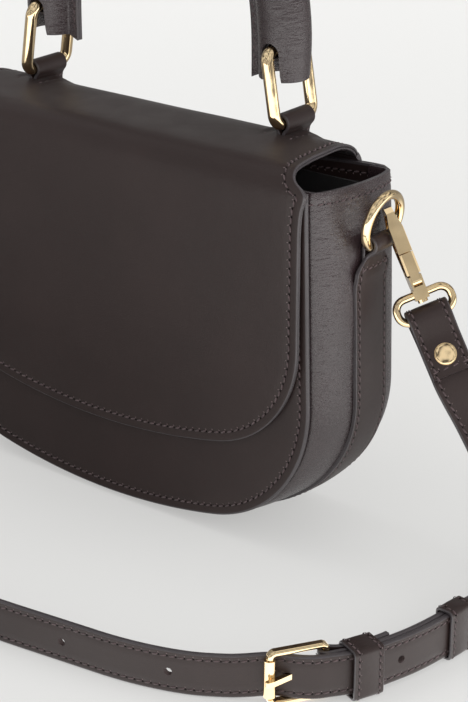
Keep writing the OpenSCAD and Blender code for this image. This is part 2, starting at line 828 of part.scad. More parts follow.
module buckle_frame() {
    x = bar_x - rail_corner_r;
    z = (buckle_h - rail_t) / 2;
    low = z - rail_corner_r;
    color("#e0c68a") at_buckle() {
        for (end = [-1, 1]) {
            translate([-x, 0, end * z]) rotate([0, 90, 0]) linear_extrude(2 * x) rail_section();
            translate([x, 0, end * low]) rotate([90, end == 1 ? 0 : 90, 0])
                rotate_extrude(angle = 90) translate([rail_corner_r, 0]) rail_section();
            translate([-x, 0, end * low]) rotate([90, end == 1 ? -90 : 180, 0])
                rotate_extrude(angle = 90) translate([rail_corner_r, 0]) rail_section();
            bar([end * bar_x, 0, -low - run_gap], [end * bar_x, 0, low + run_gap], buckle_bar_r);
        }
    }
}

roller_l = 15.6;

module buckle_roller() {
    color("#e6cf9a") at_buckle() translate([-bar_x, 0, -roller_l / 2]) difference() {
        cylinder(r = roller_r, h = roller_l);
        translate([0, 0, -over]) cylinder(r = buckle_bar_r + run_gap, h = roller_l + 2 * over);
    }
}

prong_x = -3.5;
prong_y = -1;
prong_path = [[bar_x - 3, 0.9], [3, 0.4], [prong_x, prong_y], [-bar_x, -roller_r - prong_r - soft_gap],
    [-bar_x - 2, -roller_r - prong_r - 2 * soft_gap]];
prong_eye_r = buckle_bar_r + 1.1;
edge_share = 0.97;

// Plan of the prong's stretches from one bend to another
module prong_plan(first, last, r) {
    for (i = [first : last]) let (a = prong_path[i], d = prong_path[i + 1] - a)
        translate(a) rotate([0, 0, atan2(d[1], d[0])]) translate([0, -r * edge_share]) square([norm(d), 2 * r * edge_share]);
    for (i = [first : last + 1]) translate(prong_path[i]) circle(r, $fn = 24);
}

module buckle_prong() {
    color("#e6cf9a") at_buckle() translate([0, 0, -prong_r]) linear_extrude(2 * prong_r) difference() {
        union() {
            prong_plan(0, len(prong_path) - 2, prong_r);
            translate([bar_x, 0]) circle(prong_eye_r);
        }
        translate([bar_x, 0]) circle(buckle_bar_r + run_gap);
    }
}

// Routes of the two straps: hand-chosen places and width directions

down_route = [[168, 9, 68], [182, 7, 49], [194, 3, 33], [201, -4, 20], [200.5, -15, 13.5]];
down_shares = [[0.62, 0.75, 0.2], [0.72, 0.62, 0], [0.8, 0.4, -0.3], [0.7, 0.1, -0.7], [0.3, 0, -0.95]];
pair_route = [[197, -27, 11], [195.2, -38, 10.7], [193.9, -48.8, 10.7], [192.1, -62.5, 10.7],
    [190, -73.5, 10.8], [187.2, -82.8, 10.9]];
left_route = [[-168, 10, 68], [-184, 13, 50], [-199, 20, 33], [-212, 26, 19], [-220, 20, 12]];
front_route = [[-222, 0, 9.4], [-220, -30, 9.2], [-210, -65, 9.2], [-186, -102, 9.2], [-150, -130, 9.2],
    [-105, -147, 9.2], [-55, -154, 9.2], [0, -155, 9.2], [52, -150, 9.2], [82, -146, 9.2],
    [110, -142.5, 9.2], [132.5, -135.5, 9.2], [145, -128.2, 9.3], [151, -124.5, 9.8]];
edge_on = [0, 0, -1];
pair_gap = strap_t + soft_gap;

function left_across(w) = [-w[0], w[1], w[2]];
function left_row(q) = concat([-q[0], q[1], q[2], -q[3], q[4], q[5]], [q[6], q[7]]);

bar_fold = buckle_bar_r + soft_gap + fold_t / 2;
keeper_z = buckle_gap + keeper_t + (strap_w + 3 * soft_gap) / 2;
slip_z = keeper_z + soft_gap;
rest_z = buckle_gap + rail_t + run_gap + strap_w / 2;
fold_half = strap_w * 0.465;
short_rows = concat(fold_rows,
    [for (i = [0 : len(down_route) - 1]) row(down_route[i], down_shares[i])],
    [for (p = pair_route) row(p, edge_on)],
    [row(buckle_point(bar_x + 14, -2.2, keeper_z), edge_on), row(buckle_point(bar_x + 6, -2.2, slip_z), edge_on, fold_t)],
    [for (a = [0 : 36 : 180]) row(buckle_point(bar_x - bar_fold * sin(a), -bar_fold * cos(a)), edge_on, fold_t, fold_half)],
    [row(buckle_point(bar_x + 6, 0.4, slip_z), edge_on, fold_t), row(buckle_point(bar_x + 14, 0.7, keeper_z), edge_on),
        row([184.3, -82, keeper_z], edge_on), row([184.9, -79.4, keeper_z], edge_on)]);

tip_l = 9;
tail_rows = [for (i = [5 : -1 : 1]) row(pair_route[i] + [pair_gap, 0, 0], edge_on)];
tail_end = pair_route[0] + [1.6 * pair_gap, 0, 0];
long_rows = concat([for (q = fold_rows) left_row(q)],
    [for (i = [0 : len(left_route) - 1]) row(left_route[i], left_across(down_shares[i]))],
    [for (p = front_route) row(p, edge_on)],
    [for (q = [[-bar_x, 4.4, slip_z], [-6.5, 2.3, rest_z], [-2, -1.2, rest_z], [3, -3.6, rest_z],
        [7, -4.7, rest_z], [bar_x, -4.9, rest_z], [bar_x + 6, -4.9, slip_z],
        [bar_x + 14, -5, keeper_z]]) row(buckle_point(q[0], q[1], q[2]), edge_on)],
    tail_rows,
    [row(tail_end, edge_on, strap_t, strap_w / 2), row(tail_end + [1.6, tip_l / 2, 0], edge_on, strap_t, strap_w / 3),
        row(tail_end + [3, tip_l, 0], edge_on, strap_t, strap_w / 12)]);

// Holes of the long strap: place, and the strap's heading there
hole_places = [[36.5, -152, 9.2], [81.7, -146, 9.2], [126.8, -137.6, 9.2], [191.3, -79.9, 10.8]];
hole_headings = [6, 7, 21, 73];

module strap_end_hole() {
    at_hook() translate([0, 0, fold_z]) rotate([-fold_lean, 0, 0]) translate([0, 0, -rivet_at])
        rotate([90, 0, 0]) cylinder(r = shank_r + run_gap, h = 6 * strap_t, center = true);
}

module strap_long() {
    color("#3a2f32") difference() {
        ribbon(smooth(long_rows));
        mirror([1, 0, 0]) strap_end_hole();
        for (i = [0 : len(hole_places) - 1]) translate(hole_places[i]) rotate([0, 0, hole_headings[i]])
            rotate([90, 0, 0]) cylinder(r = hole_r, h = 2 * strap_t, center = true);
        at_buckle() translate([0, 0, -prong_r - soft_gap]) linear_extrude(2 * (prong_r + soft_gap))
            prong_plan(1, 2, prong_r + soft_gap);
    }
}

module strap_short() {
    color("#3a2f32") difference() {
        ribbon(smooth(short_rows));
        strap_end_hole();
        at_buckle() translate([bar_x - 2 * bar_fold, -2 * bar_fold, -prong_r - soft_gap])
            cube([3.4 * bar_fold, 4 * bar_fold, 2 * (prong_r + soft_gap)]);
    }
}

shank_r = 1.5;
dome_h = 1.9;
washer_h = 0.8;

module strap_rivet() {
    face = strap_t + 2 * run_gap;
    round_r = (rivet_r * rivet_r + dome_h * dome_h) / (2 * dome_h);
    at_hook() translate([0, 0, fold_z]) rotate([-fold_lean, 0, 0]) translate([0, 0, -rivet_at]) {
        bar([0, -face - run_gap, 0], [0, face + run_gap, 0], shank_r);
        bar([0, face + run_gap, 0], [0, face + washer_h, 0], rivet_r * hook_share);
        intersection() {
            translate([0, -face - dome_h + round_r, 0]) sphere(round_r, $fn = 64);
            bar([0, -face - dome_h, 0], [0, -face, 0], rivet_r);
        }
    }
}

module strap_rivets() {
    color("#e6cf9a") {
        strap_rivet();
        mirror([1, 0, 0]) strap_rivet();
    }
}

// Keepers: a band of leather around the plies
keeper_round = 2;
loose_turn = 83.5;

module rounded(w, h, r) {
    square([w - 2 * r, h], center = true);
    square([w, h - 2 * r], center = true);
    for (x = [-1, 1], y = [-1, 1]) translate([x * (w / 2 - r), y * (h / 2 - r)]) circle(r, $fn = 24);
}

module keeper(plies) {
    w = plies + 2 * soft_gap;
    h = strap_w + 3 * soft_gap;
    rotate([90, 0, 90]) linear_extrude(keeper_l, center = true) difference() {
        rounded(w + 2 * keeper_t, h + 2 * keeper_t, keeper_round);
        rounded(w, h, keeper_round - keeper_t);
    }
}

module keeper_fixed() {
    color("#3a2f32") translate(buckle_point(bar_x + 13.4, -2.1, keeper_z)) rotate([0, 0, buckle_turn + 10])
        keeper(3 * strap_t + 6 * soft_gap);
}

module keeper_loose() {
    color("#3a2f32") translate([pair_route[2][0] + pair_gap / 2, pair_route[2][1], keeper_z])
        rotate([0, 0, loose_turn])
        keeper(2 * strap_t + 2 * soft_gap);
}

front_panel();
back_panel();
gusset();
gusset_strip();
front_board();
back_board();
lining();
inner_pocket();
panel_magnet();
flap_outer();
flap_lining();
flap_magnet();
flap_tail();
tab_left();
tab_right();
handle_ring_left();
handle_ring_right();
handle_cover();
handle_core();
handle_loop_left();
handle_loop_right();
side_loop_left();
side_loop_right();
side_ring_left();
side_ring_right();
hook_left();
hook_right();
hook_gate_left();
hook_gate_right();
strap_eye_left();
strap_eye_right();
strap_long();
strap_short();
strap_rivets();
buckle_frame();
buckle_roller();
buckle_prong();
keeper_fixed();
keeper_loose();
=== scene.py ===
"""Looks of a small crossbody bag: leather, stitching, plated fittings and the studio around it."""

import json
import logging
from dataclasses import dataclass, field
from enum import Enum, IntEnum
from math import asin, copysign, cos, dist, exp, hypot, pi, radians, sin, sqrt
from typing import Callable, Sequence

import bmesh
import bpy
from bpy.types import Material, Node, NodeSocket, NodeTree, Object
from mathutils import Matrix, Vector, noise
from mathutils.geometry import delaunay_2d_cdt
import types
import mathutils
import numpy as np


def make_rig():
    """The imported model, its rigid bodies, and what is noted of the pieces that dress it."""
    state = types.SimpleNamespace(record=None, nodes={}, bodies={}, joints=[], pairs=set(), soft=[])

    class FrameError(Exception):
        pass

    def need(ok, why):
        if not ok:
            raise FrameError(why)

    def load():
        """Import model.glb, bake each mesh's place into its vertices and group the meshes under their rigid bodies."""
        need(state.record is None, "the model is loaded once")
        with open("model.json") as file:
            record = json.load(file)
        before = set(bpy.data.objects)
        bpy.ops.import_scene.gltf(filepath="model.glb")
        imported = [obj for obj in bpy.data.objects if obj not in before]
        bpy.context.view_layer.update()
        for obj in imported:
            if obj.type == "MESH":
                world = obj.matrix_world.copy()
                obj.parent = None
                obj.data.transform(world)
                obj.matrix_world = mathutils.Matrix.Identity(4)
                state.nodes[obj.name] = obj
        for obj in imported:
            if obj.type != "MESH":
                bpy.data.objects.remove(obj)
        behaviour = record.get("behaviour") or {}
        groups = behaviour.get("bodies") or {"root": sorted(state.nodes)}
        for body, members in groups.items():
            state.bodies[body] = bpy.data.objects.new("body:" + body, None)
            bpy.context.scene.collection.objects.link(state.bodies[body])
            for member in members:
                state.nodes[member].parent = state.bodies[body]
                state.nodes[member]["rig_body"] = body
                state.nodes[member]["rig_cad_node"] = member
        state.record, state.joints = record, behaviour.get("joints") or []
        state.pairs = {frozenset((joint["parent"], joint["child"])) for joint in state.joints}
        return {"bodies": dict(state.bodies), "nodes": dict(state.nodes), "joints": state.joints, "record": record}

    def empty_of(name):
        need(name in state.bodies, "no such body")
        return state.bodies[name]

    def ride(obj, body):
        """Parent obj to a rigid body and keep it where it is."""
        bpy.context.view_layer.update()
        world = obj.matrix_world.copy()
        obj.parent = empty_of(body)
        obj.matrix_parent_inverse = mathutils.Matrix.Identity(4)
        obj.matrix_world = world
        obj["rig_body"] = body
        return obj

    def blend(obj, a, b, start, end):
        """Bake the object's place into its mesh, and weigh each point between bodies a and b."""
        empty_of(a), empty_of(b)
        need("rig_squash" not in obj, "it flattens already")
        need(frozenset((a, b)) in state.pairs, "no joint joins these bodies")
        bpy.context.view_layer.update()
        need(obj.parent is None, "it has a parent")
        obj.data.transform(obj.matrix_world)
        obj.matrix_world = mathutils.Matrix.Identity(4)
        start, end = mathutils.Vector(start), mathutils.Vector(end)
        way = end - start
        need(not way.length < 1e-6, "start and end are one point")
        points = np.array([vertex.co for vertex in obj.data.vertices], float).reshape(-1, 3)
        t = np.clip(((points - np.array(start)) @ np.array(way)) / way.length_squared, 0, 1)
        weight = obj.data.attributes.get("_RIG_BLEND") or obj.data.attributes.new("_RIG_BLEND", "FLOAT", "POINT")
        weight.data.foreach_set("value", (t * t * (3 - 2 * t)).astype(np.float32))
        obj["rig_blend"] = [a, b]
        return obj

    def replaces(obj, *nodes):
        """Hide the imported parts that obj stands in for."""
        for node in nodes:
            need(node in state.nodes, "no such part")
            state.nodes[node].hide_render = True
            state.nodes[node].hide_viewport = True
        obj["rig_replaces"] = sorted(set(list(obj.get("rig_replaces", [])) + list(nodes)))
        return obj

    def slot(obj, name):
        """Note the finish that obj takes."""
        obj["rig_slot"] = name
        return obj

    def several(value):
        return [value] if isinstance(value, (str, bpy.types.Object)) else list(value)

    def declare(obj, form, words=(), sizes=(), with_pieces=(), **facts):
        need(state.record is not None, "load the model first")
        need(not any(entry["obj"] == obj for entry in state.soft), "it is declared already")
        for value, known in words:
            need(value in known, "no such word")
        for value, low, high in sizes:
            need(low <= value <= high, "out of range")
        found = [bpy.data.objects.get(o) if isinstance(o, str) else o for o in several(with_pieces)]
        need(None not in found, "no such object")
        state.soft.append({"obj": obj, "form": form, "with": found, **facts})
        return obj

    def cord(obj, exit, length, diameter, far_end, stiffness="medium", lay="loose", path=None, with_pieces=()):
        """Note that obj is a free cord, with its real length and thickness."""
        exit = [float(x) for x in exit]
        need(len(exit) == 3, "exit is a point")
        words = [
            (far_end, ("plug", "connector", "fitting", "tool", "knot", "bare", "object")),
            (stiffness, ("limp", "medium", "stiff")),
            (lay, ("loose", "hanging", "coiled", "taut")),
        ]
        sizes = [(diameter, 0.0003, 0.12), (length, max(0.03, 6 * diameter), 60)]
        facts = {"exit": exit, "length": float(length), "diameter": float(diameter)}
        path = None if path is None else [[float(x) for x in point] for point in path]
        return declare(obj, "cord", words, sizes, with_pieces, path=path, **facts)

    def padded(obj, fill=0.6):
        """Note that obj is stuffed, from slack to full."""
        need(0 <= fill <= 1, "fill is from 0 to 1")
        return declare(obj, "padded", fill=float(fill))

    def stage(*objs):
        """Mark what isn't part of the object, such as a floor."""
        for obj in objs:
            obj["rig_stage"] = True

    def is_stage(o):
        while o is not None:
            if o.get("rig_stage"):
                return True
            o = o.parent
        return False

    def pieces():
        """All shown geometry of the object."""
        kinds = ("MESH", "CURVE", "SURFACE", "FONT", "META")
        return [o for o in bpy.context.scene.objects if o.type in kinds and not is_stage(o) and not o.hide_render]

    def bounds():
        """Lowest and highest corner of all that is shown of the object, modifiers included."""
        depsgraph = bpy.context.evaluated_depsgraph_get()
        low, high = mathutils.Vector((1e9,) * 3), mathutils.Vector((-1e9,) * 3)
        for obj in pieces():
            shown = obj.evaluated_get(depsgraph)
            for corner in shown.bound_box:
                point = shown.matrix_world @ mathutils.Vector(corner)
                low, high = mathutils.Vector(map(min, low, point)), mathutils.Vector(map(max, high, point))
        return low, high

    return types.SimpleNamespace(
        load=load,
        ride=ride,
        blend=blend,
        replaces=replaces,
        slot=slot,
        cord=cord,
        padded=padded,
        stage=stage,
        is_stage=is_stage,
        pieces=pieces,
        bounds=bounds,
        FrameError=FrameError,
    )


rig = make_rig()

LOG = logging.getLogger("bag")
MM = 0.001
X_AXIS, Y_AXIS, Z_AXIS = Vector((1, 0, 0)), Vector((0, 1, 0)), Vector((0, 0, 1))
Point = tuple[float, float]
Face = tuple[int, ...]
Materials = Sequence[Material]
Placer = Callable[[float, float, float], Vector]
Relief = Callable[[float, float], float]


class Side(Enum):
    """Which side of the bag a piece is on, with the sign of its X."""

    LEFT = -1
    RIGHT = 1

    @property
    def word(self) -> str:
        """The side's name as it stands in the part's node names."""
        return self.name.lower()

    def of(self, p: Vector) -> Vector:
        """A point or direction of the right side as it is on this side."""
        return Vector((p.x * self.value, p.y, p.z))


class Zone(IntEnum):
    """Material places on a leather piece."""

    FACE = 0
    EDGE = 1
    RAW = 2


class Pattern(Enum):
    """The shared shader groups, each with the outputs that shade and that roughen a finish."""

    GRAIN = ("Shade", "Gloss")
    WEAR = ("Tint", "Smudge")
    TWIST = ("Shade", "Shade")


# ---------------------------------------------------------------- shader groups


def new_group(name: str, inputs: dict[str, float], outputs: Sequence[str]) -> NodeTree:
    """Makes an empty shader group with float inputs and float outputs.

    Args:
        name: the group's name.
        inputs: each input's name and its usual value.
        outputs: the outputs' names.

    Returns:
        The group with its input and output nodes in place.
    """
    tree = bpy.data.node_groups.new(name, "ShaderNodeTree")
    for key, value in inputs.items():
        socket = tree.interface.new_socket(key, in_out="INPUT", socket_type="NodeSocketFloat")
        socket.default_value = value
    for key in outputs:
        tree.interface.new_socket(key, in_out="OUTPUT", socket_type="NodeSocketFloat")
    tree.nodes.new("NodeGroupInput").name = "in"
    tree.nodes.new("NodeGroupOutput").name = "out"
    return tree


def feed(tree: NodeTree, node: Node, inputs: dict[str | int, object]) -> None:
    """Links or sets a node's inputs.

    Args:
        tree: the node's tree.
        node: the node.
        inputs: a socket or a plain value for each named or numbered input.
    """
    for key, value in inputs.items():
        if isinstance(value, NodeSocket):
            tree.links.new(value, node.inputs[key])
        else:
            node.inputs[key].default_value = value


def add_node(tree: NodeTree, kind: str, inputs: dict[str | int, object] | None = None, **settings: object) -> Node:
    """Adds a node with its settings and inputs.

    Args:
        tree: the tree that gets the node.
        kind: the node's type.
        inputs: its inputs, as feed takes them.
        settings: the node's own properties.

    Returns:
        The node.
    """
    node = tree.nodes.new(kind)
    for key, value in settings.items():
        setattr(node, key, value)
    feed(tree, node, inputs or {})
    return node


def maths(tree: NodeTree, kind: str, a: object, b: object = 0.0, c: object = 0.0) -> NodeSocket:
    """Adds a Math node and returns its output; its three values are numbers or sockets."""
    return add_node(tree, "ShaderNodeMath", {0: a, 1: b, 2: c}, operation=kind).outputs[0]


def noise_at(tree: NodeTree, where: NodeSocket, scale: object, detail: float = 3.0, rough: float = 0.55) -> NodeSocket:
    """Adds a Noise texture read at a place.

    Args:
        tree: the tree that gets the node.
        where: socket with the place.
        scale: the noise's scale, a number or a socket.
        detail: octaves of the noise.
        rough: roughness of the octaves.

    Returns:
        The noise's factor socket.
    """
    inputs = {"Detail": detail, "Roughness": rough, "Vector": where, "Scale": scale}
    return add_node(tree, "ShaderNodeTexNoise", inputs).outputs["Fac"]


def map_range(tree: NodeTree, value: NodeSocket, source: Point, target: Point, kind: str = "LINEAR") -> NodeSocket:
    """Maps a value from one range to another.

    Args:
        tree: the tree that gets the node.
        value: socket with the value.
        source: the range it comes from.
        target: the range it goes to.
        kind: the way between the ends.

    Returns:
        The mapped value's socket.
    """
    inputs = dict(zip(("From Min", "From Max", "To Min", "To Max"), (*source, *target))) | {"Value": value}
    return add_node(tree, "ShaderNodeMapRange", inputs, interpolation_type=kind).outputs["Result"]


def object_place(tree: NodeTree) -> NodeSocket:
    """Socket with the place in the object's own frame."""
    return add_node(tree, "ShaderNodeTexCoord").outputs["Object"]


def grain_group() -> NodeTree:
    """Pebbled leather grain with soft creases.

    Returns:
        A group whose outputs are a height, a shade and a gloss mask, each from 0 to 1.
    """
    tree = new_group("leather_grain", {"Pebble": 1500.0, "Crease": 260.0, "Crinkle": 0.3, "Flow": 1.0},
                     ["Height", "Shade", "Gloss"])
    inp, out = tree.nodes["in"].outputs, tree.nodes["out"]
    where = object_place(tree)
    warp = add_node(tree, "ShaderNodeTexNoise", {"Scale": 900.0, "Vector": where})
    mixed = add_node(tree, "ShaderNodeMix", {"Factor": 0.0006, 4: where, 5: warp.outputs["Color"]}, data_type="VECTOR")
    cells = add_node(tree, "ShaderNodeTexVoronoi", {"Vector": mixed.outputs[1], "Scale": inp["Pebble"]},
                     feature="DISTANCE_TO_EDGE")
    near = maths(tree, "MINIMUM", maths(tree, "MULTIPLY", cells.outputs["Distance"], 2.6), 1.0)
    pebble = maths(tree, "POWER", near, 0.6)
    upright = add_node(tree, "ShaderNodeCombineXYZ", {"X": 1.0, "Y": 1.0, "Z": inp["Flow"]})
    flow = add_node(tree, "ShaderNodeVectorMath", {0: where, 1: upright.outputs[0]}, operation="MULTIPLY")
    crease = noise_at(tree, flow.outputs["Vector"], inp["Crease"], 3.0, 0.5)
    ridged = maths(tree, "MULTIPLY", maths(tree, "ABSOLUTE", maths(tree, "SUBTRACT", crease, 0.5)), 5.0)
    folds = maths(tree, "MULTIPLY", maths(tree, "POWER", ridged, 1.15), inp["Crinkle"])
    fine, cloud = noise_at(tree, where, 4200.0, 2.0), noise_at(tree, where, 22.0, 4.0, 0.6)
    patch = noise_at(tree, where, 60.0, 3.0, 0.5)
    base = maths(tree, "MULTIPLY_ADD", fine, 0.22, maths(tree, "MULTIPLY", pebble, 0.55))
    feed(tree, out, {"Height": maths(tree, "ADD", base, folds),
                     "Shade": maths(tree, "MULTIPLY_ADD", pebble, 0.25, maths(tree, "MULTIPLY", cloud, 0.75)),
                     "Gloss": maths(tree, "MULTIPLY_ADD", pebble, 0.3, maths(tree, "MULTIPLY", patch, 0.7))})
    return tree


def wear_group() -> NodeTree:
    """Hairline scratches, smudges and dust for plated metal.

    Returns:
        A group whose outputs are a height, a smudge mask and a tint mask.
    """
    tree = new_group("metal_wear", {"Scratch": 900.0}, ["Height", "Smudge", "Tint"])
    where = object_place(tree)
    stretch = add_node(tree, "ShaderNodeMapping",
                       {"Vector": where, "Scale": (1.0, 0.12, 0.35), "Rotation": (0.4, 0.7, 0.2)})
    hair = noise_at(tree, stretch.outputs["Vector"], tree.nodes["in"].outputs["Scratch"], 5.0, 0.7)
    waves = noise_at(tree, where, 105.0, 1.0, 0.3)
    feed(tree, tree.nodes["out"], {"Height": maths(tree, "MULTIPLY_ADD", hair, 0.02, waves),
                                   "Smudge": noise_at(tree, where, 180.0, 3.0),
                                   "Tint": noise_at(tree, where, 45.0, 2.0)})
    return tree


def twist_group() -> NodeTree:
    """Twisted thread or plain weave.

    Returns:
        A group whose outputs are a height and a shade.
    """
    tree = new_group("thread_twist", {"Pitch": 2600.0}, ["Height", "Shade"])
    where = object_place(tree)
    inputs = {"Vector": where, "Scale": tree.nodes["in"].outputs["Pitch"], "Distortion": 1.5}
    warp, weft = (add_node(tree, "ShaderNodeTexWave", inputs, bands_direction=way).outputs["Fac"] for way in "XZ")
    feed(tree, tree.nodes["out"], {"Height": maths(tree, "MULTIPLY", warp, weft),
                                   "Shade": noise_at(tree, where, 800.0, 3.0)})
    return tree


def ramp_between(tree: NodeTree, mask: NodeSocket, low: Sequence[float],
                 high: Sequence[float], start: float, stop: float) -> NodeSocket:
    """Blends two colours by a mask.

    Args:
        tree: the material's tree.
        mask: socket with the mask.
        low: colour where the mask is at start.
        high: colour where the mask is at stop.
        start: mask value of the first colour.
        stop: mask value of the second colour.

    Returns:
        The colour socket.
    """
    ramp = add_node(tree, "ShaderNodeValToRGB", {"Fac": mask})
    for element, place, colour in zip(ramp.color_ramp.elements, (start, stop), (low, high)):
        element.position, element.color = place, (*colour, 1.0)
    return ramp.outputs["Color"]


@dataclass(frozen=True)
class Finish:
    """A surface finish: two colours that a mask blends, a range of roughness and a relief."""

    name: str
    pattern: Pattern
    low: tuple[float, float, float]
    high: tuple[float, float, float]
    rough: tuple[float, float]
    depth: float
    strength: float
    tune: dict[str, float] = field(default_factory=dict)
    constants: dict[str, object] = field(default_factory=dict)

    def build(self, groups: dict[Pattern, NodeTree]) -> Material:
        """Makes the material.

        Args:
            groups: the shared shader groups.

        Returns:
            The finished material.
        """
        material = bpy.data.materials.new(self.name)
        material.use_nodes = True
        tree = material.node_tree
        group = add_node(tree, "ShaderNodeGroup", node_tree=groups[self.pattern])
        feed(tree, group, self.tune)
        shade, gloss = (group.outputs[key] for key in self.pattern.value)
        bump = add_node(tree, "ShaderNodeBump", {"Strength": self.strength, "Distance": self.depth,
                                                 "Height": group.outputs["Height"]})
        feed(tree, tree.nodes["Principled BSDF"],
             {"Base Color": ramp_between(tree, shade, self.low, self.high, 0.3, 0.72),
              "Roughness": map_range(tree, gloss, (0.3, 0.7), self.rough), "Normal": bump.outputs["Normal"],
              **self.constants})
        return material


LEATHER = Finish("smooth_leather", Pattern.GRAIN, (0.0165, 0.0095, 0.0086), (0.0245, 0.0145, 0.0133), (0.36, 0.48),
                 0.00012, 0.5, {"Pebble": 1500.0, "Crease": 240.0, "Crinkle": 0.4},
                 {"Specular IOR Level": 0.32, "Sheen Weight": 0.03, "Sheen Roughness": 0.4})
# Crinkled leather of the gusset and handle: its grain and gloss are its own, and its lighter, more purple tone is
# partly painted light that stands for the brighter light on those pieces.
CRINKLED_LIT = Finish("crinkle_leather", Pattern.GRAIN, (0.0175, 0.0102, 0.0112), (0.0275, 0.0165, 0.0182), (0.24, 0.31),
                  0.00015, 0.75, {"Pebble": 1150.0, "Crease": 105.0, "Crinkle": 1.2, "Flow": 3.4},
                  {"Specular IOR Level": 0.62, "Sheen Weight": 0.04, "Sheen Roughness": 0.4})
EDGE = Finish("edge_paint", Pattern.GRAIN, (0.030, 0.025, 0.027), (0.055, 0.047, 0.050), (0.26, 0.38), 0.00012, 0.5,
              {"Pebble": 2200.0, "Crease": 700.0, "Crinkle": 0.6}, {"Specular IOR Level": 0.5})
RAW = Finish("raw_cut", Pattern.GRAIN, (0.06, 0.042, 0.042), (0.12, 0.088, 0.085), (0.6, 0.8), 0.0003, 0.7,
             {"Pebble": 2600.0, "Crease": 900.0, "Crinkle": 0.5}, {"Specular IOR Level": 0.3})
THREAD = Finish("sewing_thread", Pattern.TWIST, (0.045, 0.028, 0.030), (0.105, 0.072, 0.074), (0.45, 0.7), 0.00008,
                0.7, {"Pitch": 2800.0}, {"Specular IOR Level": 0.35, "Sheen Weight": 0.1})
SPECK = Finish("thread_crest", Pattern.TWIST, (0.07, 0.046, 0.047), (0.15, 0.105, 0.105), (0.4, 0.6), 0.00008, 0.7,
               {"Pitch": 2800.0}, {"Specular IOR Level": 0.4, "Sheen Weight": 0.2})
# Near-black ovals sunk at each needle hole: painted shade that stands for the dark inside the holes.
NEEDLE_HOLE_SHADE = Finish("needle_hole", Pattern.GRAIN, (0.004, 0.003, 0.003), (0.008, 0.006, 0.006), (0.7, 0.9), 0.00005, 0.3,
                {}, {"Specular IOR Level": 0.1})
GOLD = Finish("gold_plating", Pattern.WEAR, (0.80, 0.60, 0.34), (0.86, 0.68, 0.42), (0.06, 0.13), 0.0004, 0.4,
              {"Scratch": 1100.0}, {"Metallic": 1.0})
STEEL = Finish("magnet_plating", Pattern.WEAR, (0.55, 0.53, 0.49), (0.66, 0.64, 0.60), (0.22, 0.36), 0.0002, 0.4,
               {"Scratch": 900.0}, {"Metallic": 1.0})
CLOTH = Finish("lining_weave", Pattern.TWIST, (0.010, 0.008, 0.0085), (0.022, 0.018, 0.019), (0.7, 0.9), 0.0002, 0.8,
               {"Pitch": 900.0}, {"Specular IOR Level": 0.3, "Sheen Weight": 0.15})
BOARD = Finish("stiffener_board", Pattern.TWIST, (0.28, 0.24, 0.19), (0.40, 0.35, 0.28), (0.8, 0.95), 0.0002, 0.6,
               {"Pitch": 600.0}, {"Specular IOR Level": 0.2})


class Finishes:
    """All the finishes, built once."""

    def __init__(self) -> None:
        """Builds the shared groups and every material."""
        groups = {Pattern.GRAIN: grain_group(), Pattern.WEAR: wear_group(), Pattern.TWIST: twist_group()}
        kinds = (LEATHER, CRINKLED_LIT, EDGE, RAW, THREAD, SPECK, NEEDLE_HOLE_SHADE, GOLD, STEEL, CLOTH, BOARD)
        (self.leather, self.crinkled, self.edge, self.raw, self.thread, self.speck, self.hollow, self.gold, self.steel,
         self.cloth, self.board) = (kind.build(groups) for kind in kinds)
        self.hide = (self.leather, self.edge)
        self.cut_hide = (self.leather, self.edge, self.raw)


# ---------------------------------------------------------------- mesh making


def link_object(name: str, mesh: bpy.types.Mesh) -> Object:
    """Makes an object of a mesh and links it to the scene.

    Args:
        name: the object's name.
        mesh: its mesh.

    Returns:
        The object.
    """
    made = bpy.data.objects.new(name, mesh)
    bpy.context.scene.collection.objects.link(made)
    return made


def volume_sign(points: Sequence[Vector], faces: Sequence[Face]) -> float:
    """Signed volume of a closed mesh, positive where its faces look outward.

    Args:
        points: the mesh's corners.
        faces: the mesh's faces.

    Returns:
        Six times the signed volume.
    """
    total = 0.0
    for face in faces:
        a = points[face[0]]
        for b, c in zip(face[1:], face[2:]):
            total += a.dot(points[b].cross(points[c]))
    return total


def closed_piece(name: str, points: Sequence[Vector], faces: Sequence[Face], materials: Materials,
                 zones: Sequence[int] | None = None, angle: float = 50.0) -> Object:
    """Makes a smooth-shaded closed mesh object whose faces look outward.

    Args:
        name: the object's name.
        points: corners in millimetres.
        faces: corner numbers of each face.
        materials: the object's materials.
        zones: material place of each face.
        angle: edges sharper than this stay sharp, in degrees.

    Returns:
        The linked object.
    """
    if volume_sign(points, faces) < 0:
        faces = [tuple(reversed(f)) for f in faces]
    mesh = bpy.data.meshes.new(name)
    mesh.from_pydata([Vector(p) * MM for p in points], [], faces)
    for material in materials:
        mesh.materials.append(material)
    if zones is not None:
        mesh.polygons.foreach_set("material_index", [int(zone) for zone in zones])
    mesh.polygons.foreach_set("use_smooth", [True] * len(mesh.polygons))
    mesh.validate()
    mesh.set_sharp_from_angle(angle=radians(angle))
    mesh.update()
    return link_object(name, mesh)


def clamp(value: float, high: float = 1.0) -> float:
    """Keeps a value between nought and a highest value."""
    return max(0.0, min(high, value))


def smooth(k: float) -> float:
    """Eases a share from 0 to 1, level at both ends."""
    return k * k * (3 - 2 * k)


def bezier(k: float, corners: Sequence[Vector]) -> Vector:
    """Point of a cubic curve at a share of its way, from its four corners."""
    a, b, c, d = corners
    return a * (1 - k) ** 3 + b * 3 * k * (1 - k) ** 2 + c * 3 * k * k * (1 - k) + d * k ** 3


def run_lengths(line: Sequence[Vector]) -> list[float]:
    """Length along a line up to each of its points.

    Args:
        line: the line's points.

    Returns:
        As many lengths, from 0.
    """
    lengths = [0.0]
    for a, b in zip(line, line[1:]):
        lengths.append(lengths[-1] + (b - a).length)
    return lengths


